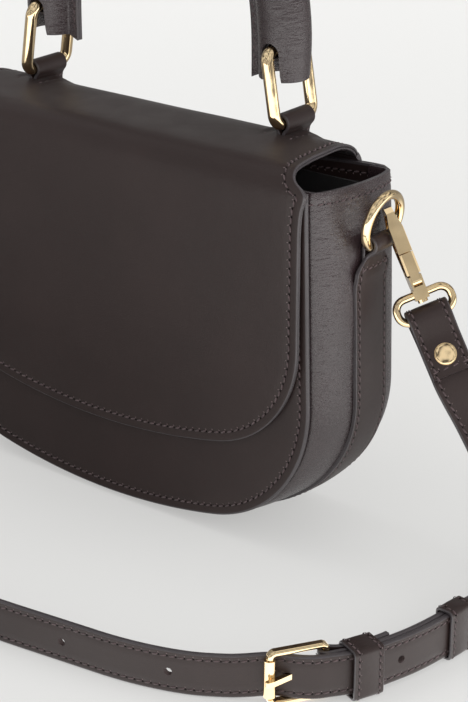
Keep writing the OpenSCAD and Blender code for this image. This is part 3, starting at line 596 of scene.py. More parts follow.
def facings_of(line: Sequence[Vector]) -> list[Vector]:
    """Directions to the right of a flat line at each of its points."""
    ways = [(b - a).normalized() for a, b in zip([line[0], *line], [*line[1:], line[-1]])]
    return [Vector((d.y, -d.x)) for d in ways]


def band_faces(one: Sequence[int], two: Sequence[int]) -> list[Face]:
    """Faces between two closed rings of corner numbers."""
    n = len(one)
    return [(one[k], one[(k + 1) % n], two[(k + 1) % n], two[k]) for k in range(n)]


def tube_faces(rings: int, n: int, joined: bool = False) -> list[Face]:
    """Faces between rings of n points each that follow each other; joined closes the last to the first."""
    starts = [(i * n, (i + 1) % rings * n) for i in range(rings if joined else rings - 1)]
    return [face for a, b in starts for face in band_faces(range(a, a + n), range(b, b + n))]


def spread(start: float, stop: float, step: float, marks: Sequence[float] = ()) -> list[float]:
    """Values from start to stop at about a step, with extra marks among them.

    Args:
        start: first value.
        stop: last value.
        step: usual distance between values.
        marks: values that are included as they are.

    Returns:
        The sorted values.
    """
    count = max(1, round((stop - start) / step))
    values = [start + (stop - start) * i / count for i in range(count + 1)]
    kept = [v for v in values if all(abs(v - m) > step * 0.35 for m in marks) or v in (start, stop)]
    return sorted(set(kept) | {m for m in marks if start < m < stop})


def round_edge(t: float, r: float, steps: int = 3) -> list[tuple[float, float]]:
    """Rounded edge of a sheet, from its lower face to its upper face.

    Args:
        t: thickness of the sheet.
        r: radius of its edge, at most half the thickness.
        steps: steps of each quarter.

    Returns:
        Pairs of inset and height.
    """
    low = [(r - r * sin(pi / 2 * i / steps), r - r * cos(pi / 2 * i / steps)) for i in range(steps + 1)]
    return low + [(a, t - h) for a, h in reversed(low)]


@dataclass
class Groove:
    """A shallow groove that a row of stitches pulls into the leather."""

    inset: float
    depth: float = 0.32
    width: float = 1.1

    def at(self, d: float) -> float:
        """Depth of the groove at a distance from the edge."""
        return self.depth * exp(-(((d - self.inset) / self.width) ** 2))


def grid_sheet(name: str, us: Sequence[float], vs: Sequence[float], place: Placer, t: float, materials: Materials,
               relief: Relief | None = None, r: float | None = None,
               closed: tuple[bool, bool] = (True, True)) -> Object:
    """Makes a sheet of leather over a rectangle of values, with rounded painted edges.

    Args:
        name: the object's name.
        us: values along the sheet.
        vs: values across the sheet.
        place: gives the point at a value along, a value across and a height over the lower face.
        t: thickness.
        materials: face and edge material.
        relief: depth taken off the upper face at a place.
        r: radius of the edges.
        closed: whether the ends along and the ends across have painted edges.

    Returns:
        The linked object.
    """
    r = t * 0.42 if r is None else r
    nu, nv = len(us), len(vs)

    def corner(i: int, j: int, inset: float, h: float, share: float) -> Vector:
        """Point of the grid at a height, drawn in at the border, with a share of the relief taken off.

        Args:
            i: row of the grid.
            j: column of the grid.
            inset: how far the border is drawn in.
            h: height over the lower face.
            share: share of the relief that is taken off.

        Returns:
            The point.
        """
        u = us[i] + (inset if i == 0 else -inset if i == nu - 1 else 0.0)
        v = vs[j] + (inset if j == 0 else -inset if j == nv - 1 else 0.0)
        return place(u, v, h - (relief(us[i], vs[j]) * share if relief else 0.0))

    grid = [(i, j) for i in range(nu) for j in range(nv)]
    points = [corner(i, j, r, 0.0, 0.0) for i, j in grid] + [corner(i, j, r, t, 1.0) for i, j in grid]
    high = len(grid)
    faces: list[Face] = []
    for a in (i * nv + j for i, j in grid if i < nu - 1 and j < nv - 1):
        faces += [(high + a, high + a + nv, high + a + nv + 1, high + a + 1), (a, a + 1, a + nv + 1, a + nv)]
    zones = [Zone.FACE] * len(faces)
    border = [(i, 0) for i in range(nu)] + [(nu - 1, j) for j in range(1, nv)]
    border += [(i, nv - 1) for i in range(nu - 2, -1, -1)] + [(0, j) for j in range(nv - 2, 0, -1)]
    rings = [[i * nv + j for i, j in border]]
    for inset, h in round_edge(t, r)[1:-1]:
        rings.append(list(range(len(points), len(points) + len(border))))
        points += [corner(i, j, inset, h, h / t) for i, j in border]
    rings.append([high + i * nv + j for i, j in border])
    for one, two in zip(rings, rings[1:]):
        for k, (i, _) in enumerate(border):
            m = (k + 1) % len(border)
            faces.append((one[k], one[m], two[m], two[k]))
            ends = i == border[m][0] and i in (0, nu - 1)
            zones.append(Zone.EDGE if closed[0 if ends else 1] else Zone.FACE)
    return closed_piece(name, points, faces, materials, zones, 60.0)


def inset_loop(loop: Sequence[Point], d: float) -> list[Point]:
    """Moves every corner of a closed anticlockwise loop inward.

    Args:
        loop: the loop's corners.
        d: distance inward.

    Returns:
        The moved corners.
    """
    n = len(loop)
    moved = []
    for i, (x, y) in enumerate(loop):
        (x0, y0), (x1, y1) = loop[i - 1], loop[(i + 1) % n]
        a, b = Vector((x - x0, y - y0)).normalized(), Vector((x1 - x, y1 - y)).normalized()
        na, nb = Vector((-a.y, a.x)), Vector((-b.y, b.x))
        both = na + nb
        scale = d * 2 / max(both.length_squared, 1.2)
        moved.append((x + both.x * scale, y + both.y * scale))
    return moved


def is_inside(p: Vector, loop: Sequence[Vector], margin: float) -> bool:
    """Tells whether a flat point is well inside a loop.

    Args:
        p: the point.
        loop: the loop's corners.
        margin: how far inside it must be; below 0 it may be that far outside.

    Returns:
        Whether it is.
    """
    odd = False
    near = 1e9
    for a, b in zip(loop, [*loop[1:], loop[0]]):
        if (a.y > p.y) != (b.y > p.y) and p.x < (b.x - a.x) * (p.y - a.y) / (b.y - a.y) + a.x:
            odd = not odd
        edge = b - a
        s = clamp((p - a).dot(edge) / max(edge.length_squared, 1e-9))
        near = min(near, (p - a - edge * s).length)
    return (near if odd else -near) > margin


CUT_AREA = ((13.0, 1.1), (16.0, 1.6))


def outline_sheet(name: str, loop: Sequence[Point], place: Placer, t: float, materials: Materials,
                  grooves: Sequence[Groove] = (), step: float = 6.0, holes: Sequence[Sequence[Point]] = (),
                  relief: Relief | None = None) -> Object:
    """Makes a sheet of leather from a closed flat outline, with rounded painted edges and stitch grooves along them.

    Args:
        name: the object's name.
        loop: anticlockwise outline in flat coordinates.
        place: gives the point at two flat coordinates and a height over the lower face.
        t: thickness.
        materials: face and edge material.
        grooves: stitch grooves along the outline.
        step: size of the inner grid.
        holes: closed cuts inside the sheet.
        relief: depth taken off the upper face at a place.

    Returns:
        The linked object.
    """
    r = t * 0.42
    insets = [r, r + 0.7]
    for groove in grooves:
        insets += [groove.inset + groove.width * k for k in (-1, -0.5, 0, 0.5, 1)]
    last = max(insets) + 2.5
    insets = sorted(v for v in set(insets) | {last} if v >= r)
    n = len(loop)
    flat: list[tuple[float, float, float]] = []
    for d in insets:
        sunk = sum(g.at(d) for g in grooves)
        flat += [(x, y, sunk) for x, y in inset_loop(loop, d)]
    rings = [list(range(k * n, (k + 1) * n)) for k in range(len(insets))]
    inner = [Vector(flat[i][:2]) for i in rings[-1]]
    across, along = (spread(min(p[k] for p in inner), max(p[k] for p in inner), step)[1:-1] for k in (0, 1))
    seeds = [Vector((x, y)) for x in across for y in along]
    cuts = [[Vector(q) for q in hole] for hole in holes]
    if relief:
        for cut in cuts:
            mid = sum(cut, Vector((0.0, 0.0))) / len(cut)
            (wide, fine_x), (deep, fine_y) = CUT_AREA
            seeds = [p for p in seeds if abs(p.x - mid.x) > wide + 1 or abs(p.y - mid.y) > deep + 1]
            seeds += [mid + Vector((x, y)) for x in spread(-wide, wide, fine_x) for y in spread(-deep, deep, fine_y)]
    keep = [s for s in seeds if is_inside(s, inner, step * 0.45) and all(not is_inside(s, cut, -0.7) for cut in cuts)]
    pool = inner + [q for cut in cuts for q in cut] + keep
    edges = [(i, (i + 1) % n) for i in range(n)]
    base = n
    loops = [list(range(n))]
    for cut in cuts:
        m = len(cut)
        edges += [(base + i, base + (i + 1) % m) for i in range(m)]
        loops.append(list(range(base, base + m)))
        base += m
    got, _, tris, origin, _, _ = delaunay_2d_cdt(pool, edges, [], 0, 1e-6)
    index_of: dict[int, int] = {}
    for k, p in enumerate(got):
        if origin[k] and origin[k][0] < n:
            index_of[k] = rings[-1][origin[k][0]]
        else:
            index_of[k] = len(flat)
            flat.append((p.x, p.y, 0.0))
    sheet = []
    for tri in tris:
        c = sum((got[i] for i in tri), Vector((0.0, 0.0))) / len(tri)
        if is_inside(c, inner, 0.0) and all(not is_inside(c, cut, 0.0) for cut in cuts):
            sheet.append(tuple(index_of[i] for i in tri))
    for one, two in zip(rings, rings[1:]):
        sheet += band_faces(one, two)
    place_of = {(round(flat[v][0], 5), round(flat[v][1], 5)): v for v in index_of.values()}
    hole_rings = [[place_of[(round(q.x, 5), round(q.y, 5))] for q in cut] for cut in cuts]
    count = len(flat)
    drop = [(relief(x, y) if relief else 0.0) + s for x, y, s in flat]
    points = [place(x, y, 0.0) for x, y, _ in flat] + [place(x, y, t - d) for (x, y, _), d in zip(flat, drop)]
    faces: list[Face] = []
    for face in sheet:
        corners = [flat[i] for i in face]
        area = sum(p[0] * q[1] - q[0] * p[1] for p, q in zip(corners, corners[1:] + corners[:1]))
        up = face if area > 0 else tuple(reversed(face))
        faces += [tuple(i + count for i in up), tuple(reversed(up))]
    zones = [Zone.FACE] * len(faces)
    previous = rings[0]
    for inset, h in round_edge(t, r)[1:-1]:
        ring = list(range(len(points), len(points) + n))
        points += [place(x, y, h) for x, y in inset_loop(loop, inset)]
        faces += band_faces(previous, ring)
        previous = ring
    faces += band_faces(previous, [i + count for i in rings[0]])
    for ring in hole_rings:
        faces += [(two, one, one + count, two + count) for one, two in zip(ring, ring[1:] + ring[:1])]
    zones += [Zone.EDGE] * (len(faces) - len(zones))
    return closed_piece(name, points, faces, materials, zones, 60.0)


def smooth_rows(rows: Sequence[Sequence[float]], rounds: int) -> list[list[float]]:
    """Cuts the corners of a row of values, as the part's own straps are made.

    Args:
        rows: lists of numbers of equal length.
        rounds: how many times the corners are cut.

    Returns:
        The smoother rows.
    """
    out = [list(r) for r in rows]
    for _ in range(rounds):
        cut = [out[0]]
        for a, b in zip(out, out[1:]):
            cut.append([p * 0.75 + q * 0.25 for p, q in zip(a, b)])
            cut.append([p * 0.25 + q * 0.75 for p, q in zip(a, b)])
        out = cut + [out[-1]]
    return out


@dataclass
class Row:
    """A place along a strap: centre, width direction, facing direction, thickness and half width."""

    centre: Vector
    across: Vector
    facing: Vector
    t: float
    half: float


def rows_to_frames(rows: Sequence[Sequence[float]]) -> list[Row]:
    """Turns raw rows of place, width direction, thickness and half width into frames.

    Args:
        rows: eight numbers each.

    Returns:
        Frames along the strap.
    """
    made = []
    n = len(rows)
    for i, q in enumerate(rows):
        a, b = rows[max(0, i - 1)], rows[min(n - 1, i + 1)]
        t = Vector([b[k] - a[k] for k in range(3)]).normalized()
        f = t.cross(Vector(q[3:6])).normalized()
        made.append(Row(Vector(q[:3]), f.cross(t), f, q[6], q[7]))
    return made


@dataclass(frozen=True)
class StrapSection:
    """Section of a two-layer strap: its crowned faces, its stitch grooves and the fine line along each edge."""

    crown: float = 0.12
    groove: float = 0.22
    seam_in: float = 2.4
    line: float = 0.16

    def points(self, t: float, half: float) -> list[tuple[float, float, Zone]]:
        """Points around the section.

        Args:
            t: thickness.
            half: half width.

        Returns:
            Across, out of the face, and the zone of the face that follows.
        """
        h = t / 2
        r = min(h * 0.55, 0.6)
        left = [(-half + r, h), (-half + self.seam_in - 0.8, h + self.crown * 0.2),
                (-half + self.seam_in, h - self.groove), (-half + self.seam_in + 0.8, h + self.crown * 0.4),
                (-half * 0.4, h + self.crown)]
        face = [(x, y, Zone.FACE) for x, y in left + [(-x, y) for x, y in reversed(left)]]
        edge = [(half - r, h), (half - r * 0.29, h - r * 0.29), (half, h - r), (half, 0.12), (half - self.line, 0.0),
                (half, -0.12), (half, -h + r), (half - r * 0.29, -h + r * 0.29)]
        one = face[:-1] + [(x, y, Zone.EDGE) for x, y in edge]
        return one + [(-x, -y, zone) for x, y, zone in one]


def ribbon(name: str, frames: Sequence[Row], materials: Materials) -> Object:
    """Makes a strap that follows its frames.

    Args:
        name: the object's name.
        frames: frames along the strap.
        materials: face and edge material.

    Returns:
        The linked object.
    """
    points: list[Vector] = []
    for row in frames:
        shape = StrapSection().points(row.t, row.half)
        points += [row.centre + row.across * a + row.facing * b for a, b, _ in shape]
    n = len(shape)
    last = (len(frames) - 1) * n
    faces = tube_faces(len(frames), n) + [tuple(range(n - 1, -1, -1)), tuple(last + j for j in range(n))]
    zones = [zone for _, _, zone in shape] * (len(frames) - 1) + [Zone.EDGE] * 2
    return closed_piece(name, points, faces, materials, zones, 40.0)


# ---------------------------------------------------------------- stitches


@dataclass
class SeamLine:
    """A row of stitches: its places, and the surface's facing there."""

    places: list[Vector]
    facings: list[Vector]


def ways(low: Sequence[Vector], high: Sequence[Vector]) -> list[Vector]:
    """Directions from each low place to its high place."""
    return [(b - a).normalized() for a, b in zip(low, high)]


def flat_seam(line: Sequence[Vector], facing: Vector) -> SeamLine:
    """A seam line on a flat face."""
    return SeamLine(list(line), [facing] * len(line))


def stitch_tree() -> NodeTree:
    """Geometry tree that lays one shape at even steps along lines.

    Returns:
        A tree with inputs for the pitch, the shape's length, width and height, its shift along the line, its slant,
        a seed and the material.
    """
    tree = bpy.data.node_groups.new("stitch_rows", "GeometryNodeTree")
    usual = {"Pitch": 0.0034, "Length": 0.0026, "Width": 0.0008, "Height": 0.0008, "Shift": 0.0, "Slant": 0.12,
             "Seed": 7}
    kinds = {"Geometry": "Geometry", **dict.fromkeys(usual, "Float"), "Seed": "Int", "Thread": "Material"}
    for key, kind in kinds.items():
        socket = tree.interface.new_socket(key, in_out="INPUT", socket_type=f"NodeSocket{kind}")
        if key in usual:
            socket.default_value = usual[key]
    tree.interface.new_socket("Geometry", in_out="OUTPUT", socket_type="NodeSocketGeometry")

    def add(kind: str, inputs: dict[str | int, object], output: str | int, **settings: object) -> NodeSocket:
        """Adds a node and gives one of its outputs."""
        return add_node(tree, kind, inputs, **settings).outputs[output]

    inp = add_node(tree, "NodeGroupInput").outputs
    curve = add("GeometryNodeMeshToCurve", {"Mesh": inp["Geometry"]}, "Curve")
    even = add("GeometryNodeResampleCurve", {"Curve": curve, "Length": inp["Pitch"]}, "Curve", mode="LENGTH")
    facing = add("GeometryNodeInputNamedAttribute", {"Name": "facing"}, "Attribute", data_type="FLOAT_VECTOR")
    first = add("FunctionNodeAlignRotationToVector", {"Vector": add("GeometryNodeInputTangent", {}, "Tangent")},
                "Rotation", axis="X")
    second = add("FunctionNodeAlignRotationToVector", {"Rotation": first, "Vector": facing}, "Rotation", axis="Z",
                 pivot_axis="X")
    chance = add("FunctionNodeRandomValue", {2: -0.07, 3: 0.07, "Seed": inp["Seed"]}, 1, data_type="FLOAT")
    lean = add("ShaderNodeCombineXYZ", {"Z": maths(tree, "ADD", inp["Slant"], chance)}, 0)
    turned = add("FunctionNodeEulerToRotation", {"Euler": lean}, "Rotation")
    both = add("FunctionNodeRotateRotation", {"Rotation": second, "Rotate By": turned}, "Rotation",
               rotation_space="LOCAL")
    ball = add("GeometryNodeMeshUVSphere", {"Radius": 0.5, "Segments": 8, "Rings": 5}, "Mesh")
    soft = add("GeometryNodeSetShadeSmooth", {"Geometry": ball}, "Geometry")
    shape = add("ShaderNodeCombineXYZ", {"X": inp["Length"], "Y": inp["Width"], "Z": inp["Height"]}, 0)
    shift = add("ShaderNodeVectorMath", {0: add("ShaderNodeCombineXYZ", {"X": inp["Shift"]}, 0), 1: shape}, 0,
                operation="DIVIDE")
    rows = add("GeometryNodeInstanceOnPoints", {"Points": even, "Instance": soft, "Rotation": both, "Scale": shape},
               "Instances")
    moved = add("GeometryNodeTranslateInstances", {"Instances": rows, "Translation": shift}, "Instances")
    real = add("GeometryNodeRealizeInstances", {"Geometry": moved}, "Geometry")
    dressed = add("GeometryNodeSetMaterial", {"Geometry": real, "Material": inp["Thread"]}, "Geometry")
    add_node(tree, "NodeGroupOutput", {"Geometry": dressed})
    return tree


@dataclass(frozen=True)
class Stitch:
    """One shape of a stitch: sizes in millimetres, shift as a share of the pitch, slant in radians."""

    word: str
    length: float
    width: float
    height: float
    shift: float
    slant: float


USUAL_PITCH = 3.6
# The holes shape is a near-black oval at each needle hole: painted shade.
STITCHES = (Stitch("thread", 2.9, 0.80, 0.66, 0.0, 0.20), Stitch("crests", 0.50, 0.80, 0.50, 0.5, 0.6),
            Stitch("holes", 1.1, 0.80, 0.22, 0.40, 0.0))


class Stitcher:
    """Lays rows of stitches and turns them into plain meshes."""

    def __init__(self, finishes: "Finishes") -> None:
        """Builds the tree once.

        Args:
            finishes: the finishes, among them the thread's.
        """
        self.tree = stitch_tree()
        self.materials = {"thread": finishes.thread, "crests": finishes.speck, "holes": finishes.hollow}

    def lay(self, name: str, lines: Sequence[SeamLine], pitch: float = USUAL_PITCH) -> Object:
        """Makes one mesh of all the stitches along some lines.

        Args:
            name: the object's name.
            lines: the rows of stitches.
            pitch: distance between stitches in millimetres.

        Returns:
            The linked object.
        """
        mesh = bpy.data.meshes.new(name + "_line")
        points, edges, facings = [], [], []
        for line in lines:
            first = len(points)
            points += [p * MM for p in line.places]
            facings += [tuple(f) for f in line.facings]
            edges += [(first + i, first + i + 1) for i in range(len(line.places) - 1)]
        mesh.from_pydata(points, edges, [])
        attribute = mesh.attributes.new("facing", "FLOAT_VECTOR", "POINT")
        attribute.data.foreach_set("vector", [c for f in facings for c in f])
        source = link_object(name + "_line", mesh)
        modifier = source.modifiers.new("stitches", "NODES")
        modifier.node_group = self.tree
        sockets = {s.name: s.identifier for s in self.tree.interface.items_tree if s.in_out == "INPUT"}
        joined = bmesh.new()
        for place, stitch in enumerate(STITCHES):
            values = {"Pitch": pitch * MM, "Length": stitch.length * pitch / USUAL_PITCH * MM,
                      "Width": stitch.width * MM, "Height": stitch.height * MM, "Shift": stitch.shift * pitch * MM,
                      "Slant": stitch.slant, "Seed": 7, "Thread": self.materials[stitch.word]}
            for key, value in values.items():
                modifier[sockets[key]] = value
            source.update_tag()
            bpy.context.view_layer.update()
            part = bpy.data.meshes.new_from_object(source.evaluated_get(bpy.context.evaluated_depsgraph_get()))
            part.polygons.foreach_set("material_index", [place] * len(part.polygons))
            joined.from_mesh(part)
            bpy.data.meshes.remove(part)
        source.modifiers.clear()
        bpy.data.objects.remove(source)
        result = bpy.data.meshes.new(name)
        joined.to_mesh(result)
        joined.free()
        for stitch in STITCHES:
            result.materials.append(self.materials[stitch.word])
        return link_object(name, result)


def finish_piece(piece: Object, body: str, slot: str, *nodes: str) -> Object:
    """Declares a piece to the frame.

    Args:
        piece: the piece.
        body: the body it rides on.
        slot: the record's material slot.
        nodes: the part's nodes that it stands for.

    Returns:
        The same piece.
    """
    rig.ride(piece, body)
    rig.slot(piece, slot)
    if nodes:
        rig.replaces(piece, *nodes)
    LOG.info("piece %s on %s, %d faces", piece.name, body, len(piece.data.polygons))
    return piece


# ---------------------------------------------------------------- studio


@dataclass
class Studio:
    """Camera, lamps, floor and backdrop."""

    place: tuple[float, float, float] = (0.53833, -0.62478, 0.40971)
    look: tuple[float, float, float] = (-0.56649, 0.72488, -0.39196)
    lens: float = 102.56
    floor_colour: tuple[float, float, float] = (0.80, 0.80, 0.79)
    floor_seen: tuple[float, float, float] = (0.29, 0.29, 0.285)
    # In glossy rays the floor is painted darker and glows towards its right: painted reflections.
    floor_mirrored: tuple[float, float, float] = (0.30, 0.295, 0.29)
    floor_sheen: float = 0.80
    glow: tuple[float, float] = (0.160, 0.208)
    glow_span: tuple[float, float] = (0.0, 0.9)
    glow_colour: tuple[float, float, float] = (1.0, 0.995, 0.98)
    sheen_span: Point = (0.02, 0.34)
    # Darkest patch of the surround that glossy rays see: painted reflection.
    dim: tuple[float, float, float] = (0.04, 0.04, 0.045)

    def camera(self) -> None:
        """Puts the camera where the photograph was taken from."""
        data = bpy.data.cameras.new("camera")
        data.sensor_fit, data.sensor_height, data.lens = "VERTICAL", 36.0, self.lens
        data.clip_start, data.clip_end = 0.01, 30.0
        cam = bpy.data.objects.new("camera", data)
        forward = Vector(self.look).normalized()
        right = forward.cross(Z_AXIS).normalized()
        turn = Matrix((right, right.cross(forward), -forward)).transposed().to_4x4()
        cam.matrix_world = Matrix.Translation(self.place) @ turn
        bpy.context.scene.collection.objects.link(cam)
        bpy.context.scene.camera = cam

    def backdrop(self) -> None:
        """Makes the floor with a sweep that rises behind the bag."""
        steps, far, wide, radius, rise, sunk = 16, 2.2, 6.0, 1.2, 3.0, 0.0002
        back = Vector((self.look[0], self.look[1], 0)).normalized()
        side = Vector((-back.y, back.x, 0))
        turns = [pi / 2 * i / steps for i in range(1, steps + 1)]
        profile = [(-6.0, 0.0), (far, 0.0)] + [(far + radius * sin(a), radius - radius * cos(a)) for a in turns]
        profile.append((far + radius, radius + rise))
        points = [(back * d + side * s * wide + Vector((0, 0, z - sunk))) for d, z in profile for s in (-1, 1)]
        faces = [(2 * i, 2 * i + 1, 2 * i + 3, 2 * i + 2) for i in range(len(profile) - 1)]
        mesh = bpy.data.meshes.new("backdrop")
        mesh.from_pydata(points, [], faces)
        mesh.flip_normals()
        mesh.materials.append(self.sweep_material(back))
        mesh.polygons.foreach_set("use_smooth", [True] * len(mesh.polygons))
        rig.stage(link_object("backdrop", mesh))

    def sweep_material(self, back: Vector) -> Material:
        """Pale matt floor that looks a little lighter to the camera alone; in glossy rays its paint is darker and its
        right side glows, painted reflections that give the leather and metal their sheen.

        Args:
            back: direction in which the floor runs away from the camera.

        Returns:
            The material.
        """
        material = bpy.data.materials.new("pale_sweep")
        material.use_nodes = True
        tree = material.node_tree
        rays = add_node(tree, "ShaderNodeLightPath").outputs
        seen, mirrored = rays["Is Camera Ray"], rays["Is Glossy Ray"]
        # Glossy rays see a darker floor paint than other rays: painted shade in reflections.
        paint = ramp_between(tree, maths(tree, "MULTIPLY_ADD", mirrored, 0.5, seen), self.floor_colour, self.floor_seen,
                             0.0, 1.0)
        paint.node.color_ramp.elements.new(0.5).color = (*self.floor_mirrored, 1.0)
        where = object_place(tree)
        axes = add_node(tree, "ShaderNodeSeparateXYZ", {0: where}).outputs
        # Glossy rays alone see the floor glow towards its right: a painted reflection that puts a sheen on the gusset,
        # handle and metal.
        right = maths(tree, "MULTIPLY_ADD", axes["Y"], -0.8, axes["X"])
        sheen = map_range(tree, right, self.sheen_span, (0.0, self.floor_sheen), "SMOOTHSTEP")
        run = add_node(tree, "ShaderNodeVectorMath", {0: where, 1: tuple(back)}, operation="DOT_PRODUCT")
        glow = map_range(tree, run.outputs["Value"], self.glow_span, self.glow)
        level = maths(tree, "MULTIPLY_ADD", glow, seen, maths(tree, "MULTIPLY", sheen, mirrored))
        feed(tree, tree.nodes["Principled BSDF"],
             {"Roughness": 0.85, "Specular IOR Level": 0.2, "Emission Strength": 2.6, "Base Color": paint,
              "Emission Color": ramp_between(tree, level, (0.0, 0.0, 0.0), self.glow_colour, 0.0, 1.0)})
        return material

    def lamp(self, name: str, place: Sequence[float], aim: Sequence[float], size: float, power: float) -> None:
        """Adds a square soft lamp.

        Args:
            name: the lamp's name.
            place: where it stands.
            aim: the point it looks at.
            size: its width in metres.
            power: its power in watts.
        """
        data = bpy.data.lights.new(name, "AREA")
        data.shape, data.size, data.energy = "SQUARE", size, power
        made = bpy.data.objects.new(name, data)
        direction = Vector(aim) - Vector(place)
        made.matrix_world = Matrix.Translation(place) @ direction.to_track_quat("-Z", "Y").to_matrix().to_4x4()
        made.visible_glossy = False
        bpy.context.scene.collection.objects.link(made)

    def lights(self) -> None:
        """Adds the soft key, the fill, and a surround that is even to all but glossy rays, which alone see patches of
        light and dark: painted reflections.
        """
        self.lamp("window", (2.0, -1.15, 0.9), (0.1, 0.0, 0.1), 1.8, 23.0)
        self.lamp("rim", (1.7, 0.7, 0.7), (0.1, 0.0, 0.1), 1.2, 13.0)
        self.lamp("top", (-1.3, -0.2, 2.2), (0.0, 0.0, 0.1), 1.6, 12.0)
        world = bpy.data.worlds.new("surround")
        bpy.context.scene.world = world
        world.use_nodes = True
        tree = world.node_tree
        aim = add_node(tree, "ShaderNodeTexCoord").outputs["Generated"]
        # Only glossy rays see these patches of light and dark: painted reflections in the metal and leather.
        rise = maths(tree, "MULTIPLY_ADD", noise_at(tree, aim, 4.6, 1.5, 0.45), 5.0, -1.95)
        gloss = add_node(tree, "ShaderNodeLightPath").outputs["Is Glossy Ray"]
        level = maths(tree, "MULTIPLY_ADD", gloss, rise, maths(tree, "SUBTRACT", 1.0, gloss))
        feed(tree, tree.nodes["Background"],
             {"Strength": 1.0, "Color": ramp_between(tree, level, self.dim, (1.0, 1.0, 1.0), 0.0, 1.0)})

    def build(self) -> None:
        """Builds the whole studio."""
        bpy.context.scene.view_settings.view_transform = "Standard"
        self.camera()
        self.backdrop()
        self.lights()


# ---------------------------------------------------------------- body shape shared by the leather pieces


@dataclass
class BodyShape:
    """Sizes of the bag's body in millimetres."""

    width: float = 222.0
    depth: float = 59.0
    rim: float = 157.0
    rim_rise: float = 5.5
    gusset_rise: float = 2.5
    corner: float = 63.0
    bottom: float = 290.0
    taper: float = 1.6
    panel_t: float = 2.3
    gusset_t: float = 1.6
    flange: float = 8.0
    side_swell: float = 10.4
    rim_swell: float = 7.8
    bottom_swell: float = 0.7
    strip_t: float = 1.5
    lift: float = 1.8
    gusset_inset: float = 0.4

    @property
    def face_y(self) -> float:
        """Distance of the panels' outer faces from the middle."""
        return self.depth / 2

    @property
    def web(self) -> float:
        """Width of the gusset between the panels."""
        return self.depth - 2 * self.panel_t

    @property
    def gusset_mid(self) -> float:
        """Mean height of the gusset's rim."""
        return self.rim + (self.rim_rise + self.gusset_rise) / 2

    def half(self, half_w: float, corner: float, bottom: float, low: float, high: float, taper: float,
             steps: tuple[int, int, int] = (16, 30, 18)) -> list[tuple[float, float, float, float]]:
        """Right half of an outline from the bottom to the top: place and outward direction.

        Args:
            half_w: half width.
            corner: corner radius.
            bottom: radius of the rounded bottom.
            low: height of the lowest point.
            high: height of the top.
            taper: lean of the sides in degrees.
            steps: steps along the bottom, the corner and the side.

        Returns:
            Tuples of x, z, normal x and normal z.
        """
        a0 = asin((half_w - corner) / (bottom - corner))
        cz = low + bottom - (bottom - corner) * cos(a0)
        a1 = radians(90 + taper)
        ex, ez = half_w - corner + corner * sin(a1), cz - corner * cos(a1)
        tap = radians(taper)
        run = (high - ez) / cos(tap)
        out = [(bottom * sin(a), low + bottom - bottom * cos(a), sin(a), -cos(a))
               for a in (a0 * i / steps[0] for i in range(steps[0] + 1))]
        out += [(half_w - corner + corner * sin(a), cz - corner * cos(a), sin(a), -cos(a))
                for a in (a0 + (a1 - a0) * i / steps[1] for i in range(1, steps[1] + 1))]
        out += [(ex - s * sin(tap), ez + s * cos(tap), sin(a1), -cos(a1))
                for s in (run * i / steps[2] for i in range(1, steps[2] + 1))]
        return out

    def outline(self, inset: float, high: float) -> list[tuple[float, float, float, float]]:
        """Whole outline of the body from the top left round the bottom to the top right.

        Args:
            inset: how far it is drawn in.
            high: height of its top.

        Returns:
            Rows of x, z, normal x and normal z.
        """
        half = self.half(self.width / 2 - inset, self.corner - inset, self.bottom - inset, self.lift + inset, high,
                         self.taper)
        return [(-x, z, -nx, nz) for x, z, nx, nz in reversed(half[1:])] + half

    def swell(self, z: float, nx: float) -> float:
        """How far the gusset swells past the panels at a point of the outline.

        Args:
            z: height of the point.
            nx: X of the outward direction there.

        Returns:
            The swell.
        """
        side = abs(nx) ** 3
        up = max(0.0, z - 100.0) / (self.gusset_mid - 100.0)
        return (self.bottom_swell + (self.side_swell - self.bottom_swell) * side
                + (self.rim_swell - self.side_swell) * side * up * up)


def path_at(path: Sequence[Sequence[float]], u: float) -> list[float]:
    """Place and outward direction at a fractional step of an outline.

    Args:
        path: the outline's rows.
        u: the step, whole at a row.

    Returns:
        The row between the two that are nearest.
    """
    i = min(int(u), len(path) - 2)
    f = u - i
    return [a * (1 - f) + b * f for a, b in zip(path[i], path[i + 1])]


